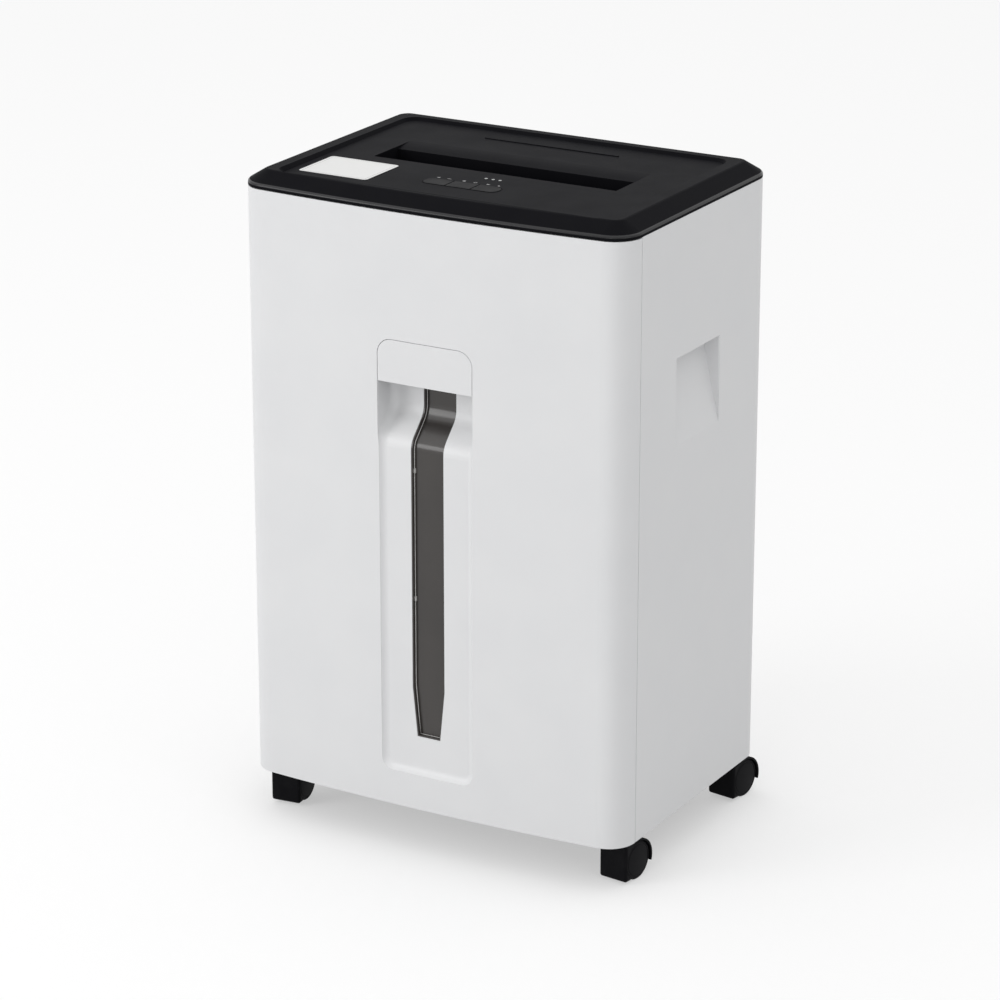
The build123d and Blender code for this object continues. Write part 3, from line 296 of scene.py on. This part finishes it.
# Deck and cutting head: a black deck carries the head on four rubber feet. Two steel end plates, held apart
# by tie bars, carry bronze bushes, two hexagonal shafts with rows of hardened discs, and nylon combs that
# strip the cut paper from them. A moulded throat guides the sheets down from the slot.
ground_steel = finish("ground_steel", ((0.25, 0.25, 0.26), (0.40, 0.40, 0.40)), (0.22, 0.38), 4.0, 0.5,
                      0.004, metal=1.0, stretch=(1.0, 1.0, 0.2))
oiled_steel = finish("oiled_steel", ((0.14, 0.135, 0.13), (0.28, 0.28, 0.28)), (0.18, 0.34), 5.0, 0.6,
                     0.006, metal=1.0)
bronze = finish("sintered_bronze", ((0.36, 0.22, 0.08), (0.50, 0.33, 0.14)), (0.3, 0.5), 1.2, 0.25, 0.012,
                metal=1.0)
rubber = finish("mount_rubber", ((0.012, 0.012, 0.012), (0.022, 0.022, 0.022)), (0.75, 0.9), 6.0, 0.6, 0.03)
raw_nylon = finish("natural_nylon", ((0.60, 0.57, 0.49), (0.70, 0.67, 0.60)), (0.35, 0.5), 9.0, 0.6, 0.01)
dress(satin_black, "head_deck", "paper_throat")
dress(ground_steel, "head_plate_left", "head_plate_right", "tie_bars")
dress(oiled_steel, "cutter_shaft_front", "cutter_shaft_rear", "cutter_discs_front", "cutter_discs_rear")
dress(bronze, "cutter_bushes")
dress(rubber, "rubber_mounts")
dress(raw_nylon, "stripper_combs")

# Motor and gears: a painted can with a steel rotor, a steel pinion, a two-step nylon idler and steel gears
# that tie the two cutter shafts together, all behind a moulded cover on the left end plate.
motor_paint = finish("motor_paint", ((0.030, 0.031, 0.034), (0.045, 0.046, 0.050)), (0.28, 0.4), 14.0, 0.8,
                     0.012)
dress(motor_paint, "motor_can")
dress(ground_steel, "motor_rotor", "motor_pinion", "drive_gear", "sync_gear_front", "sync_gear_rear")
dress(raw_nylon, "idler_gear")
dress(satin_black, "gear_cover")

# Rear fittings: a three-pin mains socket and a rocker switch, both black nylon, snapped into the rear
# panel. The pins are nickel plated, and the rocker has its two usual marks, a bar and a ring, in white ink.
INLET = (96.0, 474.0)            # x, z
PIN_PLACES = ((-7.0, -2.0), (0.0, 3.0), (7.0, -2.0))
PIN_REACH = (1.1, 2.6)
PIN_Y = (116.1, 128.5)
SWITCH_X = 134.0
ROCKER_PIVOT = (126.5, 474.0)    # y, z
ROCKER_LEAN = -8.0
ROCKER_FACES = ((4.5, -9.2), (4.0, 0.0), (4.5, 9.2))   # y, z of the cap's face from the pivot
ROCKER_BAR = (0.25, 1.9)         # half width, half height
ROCKER_RING = (1.9, 1.45)        # outer and inner radius
FITTING_ROUND = 0.4
ROCKER_ROUND = 0.5
INK = 0.05
fitting_black = finish("fitting_black", ((0.008, 0.008, 0.009), (0.013, 0.013, 0.014)), (0.3, 0.42), 8.0,
                       0.7, 0.012)
nickel = finish("nickel_pins", ((0.48, 0.46, 0.42), (0.60, 0.58, 0.54)), (0.2, 0.34), 2.0, 0.3, 0.004,
                metal=1.0)
white_ink = finish("white_ink", ((0.55, 0.55, 0.55), (0.68, 0.68, 0.68)), (0.5, 0.65), 1.5, 0.3, 0.004)


def plate(skin, outline, place, thickness):
    """Adds a thin flat closed plate with the given outline to a mesh."""
    low = [skin.verts.new(place @ (Vector((u, v, 0.0)) * MM)) for u, v in outline]
    high = [skin.verts.new(place @ (Vector((u, v, thickness)) * MM)) for u, v in outline]
    skin.faces.new(high)
    skin.faces.new(list(reversed(low)))
    for start in range(len(outline)):
        end = (start + 1) % len(outline)
        skin.faces.new((low[start], low[end], high[end], high[start]))


def ring_plate(skin, outer, inner, place, thickness, steps=24):
    """Adds a thin flat ring to a mesh."""
    loops = []
    for radius, height in ((outer, 0.0), (outer, thickness), (inner, thickness), (inner, 0.0)):
        loop = []
        for step in range(steps):
            turn = 2 * math.pi * step / steps
            spot = Vector((radius * math.cos(turn), radius * math.sin(turn), height))
            loop.append(skin.verts.new(place @ (spot * MM)))
        loops.append(loop)
    for first, second in zip(loops, loops[1:] + loops[:1]):
        for step in range(steps):
            after = (step + 1) % steps
            skin.faces.new((first[step], first[after], second[after], second[step]))


def bar(half_u, half_v, u=0.0, v=0.0):
    """Outline of a rectangle."""
    left, right, low, high = u - half_u, u + half_u, v - half_v, v + half_v
    return ((left, low), (right, low), (right, high), (left, high))


inlet = whole_faces("mains_inlet")
for face in inlet.faces:
    middle = face.calc_center_median() / MM
    for x, z in PIN_PLACES:
        beside = abs(middle.x - INLET[0] - x) < PIN_REACH[0] and abs(middle.z - INLET[1] - z) < PIN_REACH[1]
        if beside and PIN_Y[0] < middle.y < PIN_Y[1]:
            face.material_index = 1
round_edges(inlet, FITTING_ROUND, 2)
show(inlet, "inlet_shell", "cabinet", "sensor_black", fitting_black, nickel, like="mains_inlet")
housing = whole_faces("switch_housing")
round_edges(housing, FITTING_ROUND, 2, lambda middle: middle.y > BODY_HALF[1] - 1)
show(housing, "switch_shell", "cabinet", "sensor_black", fitting_black, like="switch_housing")
rocker = whole_faces("power_rocker")
round_edges(rocker, ROCKER_ROUND, 2, lambda middle: middle.y > ROCKER_PIVOT[0] - 1.5)
show(rocker, "rocker_cap", "rocker", "sensor_black", fitting_black, like="power_rocker")
marks = bmesh.new()
pivot = Matrix.Translation(Vector((SWITCH_X, *ROCKER_PIVOT)) * MM)
pivot = pivot @ Matrix.Rotation(math.radians(ROCKER_LEAN), 4, "X")
for (start_y, start_z), (end_y, end_z) in zip(ROCKER_FACES, ROCKER_FACES[1:]):
    slope = math.atan2(end_y - start_y, end_z - start_z)
    middle = Vector((0, (start_y + end_y) / 2, (start_z + end_z) / 2)) * MM
    face = pivot @ Matrix.Translation(middle) @ Matrix.Rotation(-slope - math.pi / 2, 4, "X")
    if end_z > 0:
        plate(marks, bar(*ROCKER_BAR), face, INK)
    else:
        ring_plate(marks, *ROCKER_RING, face, INK)
bmesh.ops.recalc_face_normals(marks, faces=marks.faces)
show(marks, "rocker_marks", "rocker", "key_grey", white_ink)

# Lid: one black ABS moulding with a fine matt texture and a polished lower edge. Its border slopes up to a
# low rim round a sunken panel, and the paper slot has a ramp behind it and a short guide rib. It clips over
# the panels with a lip.
BOW_RADIUS = 2163.75
CORNER_RADIUS = 24.0
SEAM_Z = 553.0
LIP_Z = (555.0, 558.0)
LIP_REACH = 3.0
TOP_Z = 566.0
PANEL_Z = 563.0
PANEL_TILT = 0.2
RIM_HALF = 154.0
RIM_Y = (-110.0, 106.0)
SLOT_HALF = (113.5, 19.0)
RAMP_END_Y = 41.0
RIM_ROUND = 1.0
SLOT_ROUND = 0.9
SEAM_ROUND = 0.7
LIP_ROUND = 0.45
lid_black = finish("lid_black", ((0.0065, 0.0065, 0.0080), (0.0078, 0.0078, 0.0092)), (0.42, 0.48), 30.0,
                   0.8, 0.03, sheen=0.01)
lid_gloss = finish("lid_gloss", ((0.0075, 0.0075, 0.009), (0.010, 0.010, 0.0115)), (0.24, 0.32), 30.0, 0.8,
                   0.006, sheen=0.3)


def panel_height(y):
    return PANEL_Z + math.tan(math.radians(PANEL_TILT)) * y


def inset(spot):
    """How far a spot lies inside the plan outline of the body, whose front is slightly bowed."""
    to_side = BODY_HALF[0] - abs(spot.x)
    to_end = BODY_HALF[1] - abs(spot.y)
    if spot.y < 0:
        to_end -= spot.x ** 2 / (2 * BOW_RADIUS)
    if max(to_side, to_end) < CORNER_RADIUS:
        return CORNER_RADIUS - math.hypot(CORNER_RADIUS - to_side, CORNER_RADIUS - to_end)
    return min(to_side, to_end)


def on_rim(middle):
    return (middle.z > TOP_Z - 1 and abs(middle.x) < RIM_HALF + 1
            and RIM_Y[0] - 1 < middle.y < RIM_Y[1] + 1)


def on_slot(middle):
    return (abs(middle.x) < SLOT_HALF[0] + 1 and -SLOT_HALF[1] - 1 < middle.y < RAMP_END_Y + 1
            and panel_height(middle.y) - 3 < middle.z < TOP_Z - 1.5)


def on_seam(middle):
    outside = abs(middle.x) > BODY_HALF[0] - 5.5 or abs(middle.y) > BODY_HALF[1] - 6
    return outside and abs(middle.z - SEAM_Z) < 0.3


def on_lip(middle):
    return LIP_Z[0] < middle.z < LIP_Z[1] and inset(middle) < LIP_REACH


lid = whole_faces("top_cover")
round_edges(lid, RIM_ROUND, 3, on_rim)
round_edges(lid, SLOT_ROUND, 3, on_slot)
round_edges(lid, SEAM_ROUND, 3, on_seam)
round_edges(lid, LIP_ROUND, 3, on_lip, 12.0)
for face in lid.faces:
    face.material_index = 1 if on_lip(face.calc_center_median() / MM) else 0
show(lid, "lid", "cabinet", "black_lid", lid_black, lid_gloss, like="top_cover")

# Keys, lenses and board: three satin keys in one rounded row, sprung by switches on a green board under the
# lid, three clear indicator lenses, a reed switch for the bin and a sensor for the paper.
BOARD_TOP_Z = 544.0
key_grey = finish("key_grey", ((0.008, 0.008, 0.009), (0.011, 0.011, 0.012)), (0.36, 0.46), 10.0, 0.7,
                  0.012, sheen=0.02)
board_green = finish("board_green", ((0.010, 0.055, 0.020), (0.018, 0.085, 0.030)), (0.25, 0.4), 2.5, 0.5,
                     0.01)
clear_lens = finish("clear_lens", ((0.30, 0.31, 0.31), (0.42, 0.43, 0.42)), (0.05, 0.12), 1.0, 0.5, 0.002)
dress(key_grey, "key_reverse", "key_stop", "key_auto")
dress(clear_lens, "indicator_lenses")
dress(fitting_black, "bin_sensor", "paper_sensor")
board = whole_faces("control_board")
for face in board.faces:
    face.material_index = 1 if face.calc_center_median().z / MM > BOARD_TOP_Z + 0.05 else 0
show(board, "board", "cabinet", "circuit_board", board_green, fitting_black, like="control_board")

# Print on the lid: plain light-grey symbols beside the keys, and a blank white paper label with a thin
# border, all on the sunken panel. The ink is screen printed and the label is glued down.
SYMBOL_Y = -52.0
SYMBOLS = {-32.0: "back", -21.6: "bar", -7.7: "square", 2.7: "ring", 15.0: "arrow", 24.5: "dot"}   # by x
SYMBOL_RING = (1.5, 1.05)    # outer and inner radius
LIFT = 0.01
LABEL_MIDDLE = (-111.0, -62.0)
LABEL_HALF = (32.5, 26.5)
LABEL_CORNER = 3.0
LABEL_THICKNESS = 0.12
BORDER_HALF = (30.0, 24.0)
BORDER_LINE = 0.2
BORDER_THICKNESS = 0.02
grey_ink = finish("grey_ink", ((0.26, 0.26, 0.26), (0.36, 0.36, 0.36)), (0.5, 0.65), 1.5, 0.3, 0.004)
label_paper = finish("label_paper", ((0.72, 0.72, 0.71), (0.74, 0.74, 0.73)), (0.3, 0.38), 6.0, 0.35, 0.002)
label_line = finish("label_line", ((0.36, 0.36, 0.36), (0.45, 0.45, 0.45)), (0.4, 0.5), 2.0, 0.3, 0.003)


def on_panel(x, y, lift):
    """Place on the tilted panel, X along the slot and Z square to the panel."""
    spot = Matrix.Translation(Vector((x, y, panel_height(y) + lift)) * MM)
    return spot @ Matrix.Rotation(math.radians(PANEL_TILT), 4, "X")


def rounded(half_x, half_y, corner, steps=6):
    """Outline of a rectangle with round corners."""
    outline = []
    for quarter in range(4):
        middle_x = (half_x - corner) * (1 if quarter in (0, 3) else -1)
        middle_y = (half_y - corner) * (1 if quarter in (0, 1) else -1)
        for step in range(steps + 1):
            turn = math.pi / 2 * (quarter + step / steps)
            outline.append((middle_x + corner * math.cos(turn), middle_y + corner * math.sin(turn)))
    return outline


SHAPES = {"back": ((1.6, -1.3), (1.6, 1.3), (-1.6, 0.0)), "arrow": ((-1.6, 1.3), (-1.6, -1.3), (1.6, 0.0)),
          "bar": bar(1.8, 0.35), "square": bar(1.2, 1.2), "dot": rounded(1.0, 1.0, 0.99)}
symbols = bmesh.new()
for x, kind in SYMBOLS.items():
    spot = on_panel(x, SYMBOL_Y, LIFT)
    if kind == "ring":
        ring_plate(symbols, *SYMBOL_RING, spot, INK)
    else:
        plate(symbols, SHAPES[kind], spot, INK)
bmesh.ops.recalc_face_normals(symbols, faces=symbols.faces)
show(symbols, "lid_symbols", "cabinet", "key_grey", grey_ink)
label = bmesh.new()
plate(label, rounded(*LABEL_HALF, LABEL_CORNER), on_panel(*LABEL_MIDDLE, LIFT), LABEL_THICKNESS)
show(label, "blank_label", "cabinet", "white_shell", label_paper)
border = bmesh.new()
on_label = on_panel(*LABEL_MIDDLE, LIFT + LABEL_THICKNESS)
for way in (-1, 1):
    across = bar(BORDER_HALF[0], BORDER_LINE, 0.0, way * BORDER_HALF[1])
    along = bar(BORDER_LINE, BORDER_HALF[1] + BORDER_LINE, way * BORDER_HALF[0], 0.0)
    for line in (across, along):
        plate(border, line, on_label, BORDER_THICKNESS)
show(border, "label_border", "cabinet", "key_grey", label_line)

# Waste bin: a black tub screwed to the white bowed front from inside, so that the front comes out with it.
# The front is moulded with a soft-edged recess, a finger pocket behind the handle plate and a slot for the
# window.
RECESS_HALF = 44.5
RECESS_LOW_Z = 70.5
HANDLE_LOW_Z = 410.0
FRONT_Z = (40.0, 552.4)
FRONT_BACK_Y = -99.3
FRONT_ROUND = 0.5
RECESS_ROUND = 1.4
BIN_SCREWS = ((-115.0, 97.0), (115.0, 97.0), (-115.0, 330.0), (115.0, 330.0))   # x, z
BIN_SCREW_Y = (-124.0, -115.0)


def on_recess(middle):
    return (abs(middle.x) < RECESS_HALF + 1 and RECESS_LOW_Z - 1 < middle.z < HANDLE_LOW_Z - 4
            and middle.y < 2 - BODY_HALF[1])


def on_front_border(middle):
    return min(abs(middle.z - z) for z in FRONT_Z) < 0.5 or middle.y > FRONT_BACK_Y - 1.7


front = whole_faces("bin_front_panel")
below_handle = (0, 0, (HANDLE_LOW_Z - 3) * MM)
bmesh.ops.bisect_plane(front, geom=[*front.verts, *front.edges, *front.faces], dist=1e-6,
                       plane_co=below_handle, plane_no=(0, 0, 1))
round_edges(front, RECESS_ROUND, 4, on_recess)
round_edges(front, FRONT_ROUND, 2, on_front_border)
show(front, "bin_front", "waste_bin", "white_shell", white_abs, like="bin_front_panel")
dress(satin_black, "bin_tub")
dress(zinc, "bin_magnet")
inner_screws = screws(BIN_SCREWS, *BIN_SCREW_Y)
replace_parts(show(inner_screws, "bin_front_screws", "waste_bin", "plated_steel", zinc), "bin_screws")

# Handle plate and window: a bare white plate with rounded upper corners closes the top of the recess. The
# window is a bent tray of smoked polycarbonate behind the slot, with two small pale clips. A thin
# light-grey bead round the window's edge is a painted highlight.
HANDLE_THICKNESS = 3.5
HANDLE_ROUND = 0.4
FLOOR_Y = (-126.0, -105.0)   # recess floor, below and above its bend
BEND_LOW_Z = 360.0
BEND_ANGLE = 45.0
BEND_RADIUS = 16.0
BEND_STEPS = 8
PANE_BEHIND = 4.0            # the pane's face lies this far behind the recess floor
PANE_HALF = 14.1
PANE_END_HALF = 10.1
PANE_TOP_Z = 428.0
PANE_TAPER_Z = 148.0
PANE_END_Z = 105.8
EDGE_STEP = 2.0
BEAD = 0.35
BEAD_SIDES = 8
CLIP_Z = (336.0, 225.0)
CLIP = (2.2, 0.9, 0.85)      # half height, half depth and corner
CLIP_WIDTH = 1.0
smoked = finish("smoked_sheet", ((0.036, 0.032, 0.030), (0.046, 0.041, 0.038)), (0.14, 0.22), 80.0, 6.0,
                0.01)
# Light grey: a painted highlight on the window's edge bead, and the clips' own pale colour.
painted_highlight_and_clip_plastic = finish("painted_highlight_and_clip_plastic", ((0.58, 0.57, 0.56), (0.70, 0.69, 0.68)), (0.15, 0.25), 5.0, 0.5, 0.003)


def bend_line(behind):
    """Side view of the recess floor in (y, z), moved back by a distance, with both bends as arcs."""
    slope = math.radians(BEND_ANGLE)
    low_z = BEND_LOW_Z - behind * math.tan(slope / 2)
    high_z = low_z + (FLOOR_Y[1] - FLOOR_Y[0]) / math.tan(slope)
    shallow, deep = FLOOR_Y[0] + behind, FLOOR_Y[1] + behind
    low_radius, high_radius = BEND_RADIUS - behind, BEND_RADIUS + behind
    turns = [slope * step / BEND_STEPS for step in range(BEND_STEPS + 1)]
    low_start = low_z - low_radius * math.tan(slope / 2)
    line = [(shallow, 0.0)]
    for turn in turns:
        line.append((shallow + low_radius * (1 - math.cos(turn)), low_start + low_radius * math.sin(turn)))
    high_end = high_z + high_radius * math.tan(slope / 2)
    for turn in reversed(turns):
        line.append((deep - high_radius * (1 - math.cos(turn)), high_end - high_radius * math.sin(turn)))
    return line + [(deep, 600.0)]


def pane_y(z, line):
    """Depth of that line at a height."""
    for (start_y, start_z), (end_y, end_z) in zip(line, line[1:]):
        if start_z <= z <= end_z:
            return start_y + (end_y - start_y) * (z - start_z) / (end_z - start_z)
    return line[-1][0]


def bead(path, radius):
    """Closed thin bead along a path of points that lies square to Y."""
    skin = bmesh.new()
    rings = []
    for index, point in enumerate(path):
        before, after = path[max(index - 1, 0)], path[min(index + 1, len(path) - 1)]
        along = (Vector(after) - Vector(before)).normalized()
        across = along.cross(Vector((0.0, 1.0, 0.0))).normalized()
        up = along.cross(across)
        ring = []
        for side in range(BEAD_SIDES):
            turn = 2 * math.pi * side / BEAD_SIDES
            spot = Vector(point) + radius * (across * math.cos(turn) + up * math.sin(turn))
            ring.append(skin.verts.new(spot * MM))
        rings.append(ring)
    for first, second in zip(rings, rings[1:]):
        for side in range(BEAD_SIDES):
            after = (side + 1) % BEAD_SIDES
            skin.faces.new((first[side], first[after], second[after], second[side]))
    skin.faces.new(rings[0])
    skin.faces.new(rings[-1])
    bmesh.ops.recalc_face_normals(skin, faces=skin.faces)
    return skin


handle = whole_faces("handle_plate")
round_edges(handle, HANDLE_ROUND, 3, lambda middle: middle.y < HANDLE_THICKNESS + 2.5 - BODY_HALF[1])
show(handle, "handle", "waste_bin", "white_shell", white_abs, like="handle_plate")
dress(smoked, "view_window")
pane_line = bend_line(PANE_BEHIND - BEAD)
left_side = []
z = PANE_TOP_Z
while z > PANE_TAPER_Z:
    left_side.append((-PANE_HALF, pane_y(z, pane_line), z))
    z -= EDGE_STEP
foot_y = pane_y(PANE_END_Z, pane_line)
foot = [(-PANE_END_HALF, foot_y, PANE_END_Z), (PANE_END_HALF, foot_y, PANE_END_Z)]
right_side = [(-x, y, z) for x, y, z in reversed(left_side)]
# The light-grey bead round the pane's edge is a painted highlight, not a real part.
painted_highlight_bead = bead(left_side + foot + right_side, BEAD)
show(painted_highlight_bead, "window_edge_painted_highlight", "waste_bin", "smoked_window", painted_highlight_and_clip_plastic)
clips = bmesh.new()
for z in CLIP_Z:
    spot = Matrix.Translation(Vector((0.1 - PANE_HALF, pane_y(z, pane_line) - 0.5, z)) * MM)
    plate(clips, rounded(*CLIP), spot @ Matrix.Rotation(math.pi / 2, 4, "Y"), CLIP_WIDTH)
bmesh.ops.recalc_face_normals(clips, faces=clips.faces)
show(clips, "window_clips", "waste_bin", "smoked_window", painted_highlight_and_clip_plastic)

# Stage: a plain pale floor and a white surround, lit softly from a broad sheet overhead, a box at the front
# left and two weak ones at the right. The camera looks down from the right and sees the surround white and
# the floor almost white, with the shadow on it. Sizes in this section are metres.
FLOOR_HALF = 12.0
FLOOR_SEEN = (0.98, 0.98, 0.98, 1.0)
FLOOR_BOUNCE = (0.72, 0.72, 0.72, 1.0)
FLOOR_WHITE = 0.45
SURROUND_SEEN = 1.0
SURROUND_LIGHT = 0.38
LAMPS = {"key": ((-2.6, -3.2, 1.4), 2.0, 52.0), "fill": ((1.0, -4.4, 1.0), 2.0, 14.0),
         "side": ((3.6, -1.2, 0.9), 2.0, 12.0),
         "top": ((-0.5, 0.0, 7.0), 20.0, 900.0)}   # spot, width, watts
LAMP_AIM = (0.0, 0.0, 0.3)
LENS = 140.4
SENSOR = 36.0
CAMERA_SPOT = (1.5377, -2.6872, 1.3573)
CAMERA_TURN = 0.52097
CAMERA_DIP = 0.33604


def seen_or_light(tree, seen, light, output):
    """Shows one shader to the camera and in reflections, and lights the scene with the other."""
    path = tree.nodes.new("ShaderNodeLightPath")
    direct = tree.nodes.new("ShaderNodeMath")
    direct.operation = "MAXIMUM"
    anyway = tree.nodes.new("ShaderNodeMath")
    anyway.operation = "MAXIMUM"
    choice = tree.nodes.new("ShaderNodeMixShader")
    tree.links.new(path.outputs["Is Camera Ray"], direct.inputs[0])
    tree.links.new(path.outputs["Is Glossy Ray"], direct.inputs[1])
    tree.links.new(direct.outputs[0], anyway.inputs[0])
    tree.links.new(path.outputs["Is Transmission Ray"], anyway.inputs[1])
    tree.links.new(anyway.outputs[0], choice.inputs["Fac"])
    tree.links.new(light, choice.inputs[1])
    tree.links.new(seen, choice.inputs[2])
    tree.links.new(choice.outputs[0], output)


floor_paint = bpy.data.materials.new("floor_paint")
floor_paint.use_nodes = True
tree = floor_paint.node_tree
tree.nodes.remove(tree.nodes["Principled BSDF"])
coats = []
for colour in (FLOOR_SEEN, FLOOR_BOUNCE):
    coat = tree.nodes.new("ShaderNodeBsdfDiffuse")
    coat.inputs["Color"].default_value = colour
    coats.append(coat.outputs["BSDF"])
glow = tree.nodes.new("ShaderNodeEmission")
glow.inputs["Color"].default_value = (1.0, 1.0, 1.0, 1.0)
glow.inputs["Strength"].default_value = 1.0
bleached = tree.nodes.new("ShaderNodeMixShader")
bleached.inputs["Fac"].default_value = FLOOR_WHITE
tree.links.new(coats[0], bleached.inputs[1])
tree.links.new(glow.outputs["Emission"], bleached.inputs[2])
seen_or_light(tree, bleached.outputs[0], coats[1], tree.nodes["Material Output"].inputs["Surface"])
ground = bmesh.new()
for x, y in ((-1, -1), (1, -1), (1, 1), (-1, 1)):
    ground.verts.new((x * FLOOR_HALF, y * FLOOR_HALF, 0.0))
ground.faces.new(ground.verts)
floor_mesh = bpy.data.meshes.new("floor")
ground.to_mesh(floor_mesh)
ground.free()
floor_mesh.materials.append(floor_paint)
floor = bpy.data.objects.new("floor", floor_mesh)
bpy.context.scene.collection.objects.link(floor)

for name, (spot, width, power) in LAMPS.items():
    lamp = bpy.data.lights.new(name, "AREA")
    lamp.shape = "SQUARE"
    lamp.size = width
    lamp.energy = power
    holder = bpy.data.objects.new(name, lamp)
    holder.location = spot
    aim = Vector(LAMP_AIM) - Vector(spot)
    holder.rotation_euler = aim.to_track_quat("-Z", "Y").to_euler()
    bpy.context.scene.collection.objects.link(holder)

world = bpy.data.worlds.new("studio")
bpy.context.scene.world = world
world.use_nodes = True
tree = world.node_tree
skies = []
for strength in (SURROUND_SEEN, SURROUND_LIGHT):
    sky = tree.nodes.new("ShaderNodeBackground")
    sky.inputs["Color"].default_value = (1.0, 1.0, 1.0, 1.0)
    sky.inputs["Strength"].default_value = strength
    skies.append(sky.outputs["Background"])
seen_or_light(tree, *skies, tree.nodes["World Output"].inputs["Surface"])

camera = bpy.data.cameras.new("camera")
camera.lens = LENS
camera.sensor_width = SENSOR
viewer = bpy.data.objects.new("camera", camera)
viewer.location = CAMERA_SPOT
viewer.rotation_euler = (math.pi / 2 - CAMERA_DIP, 0.0, CAMERA_TURN)
bpy.context.scene.collection.objects.link(viewer)
bpy.context.scene.camera = viewer
bpy.context.scene.view_settings.view_transform = "Standard"
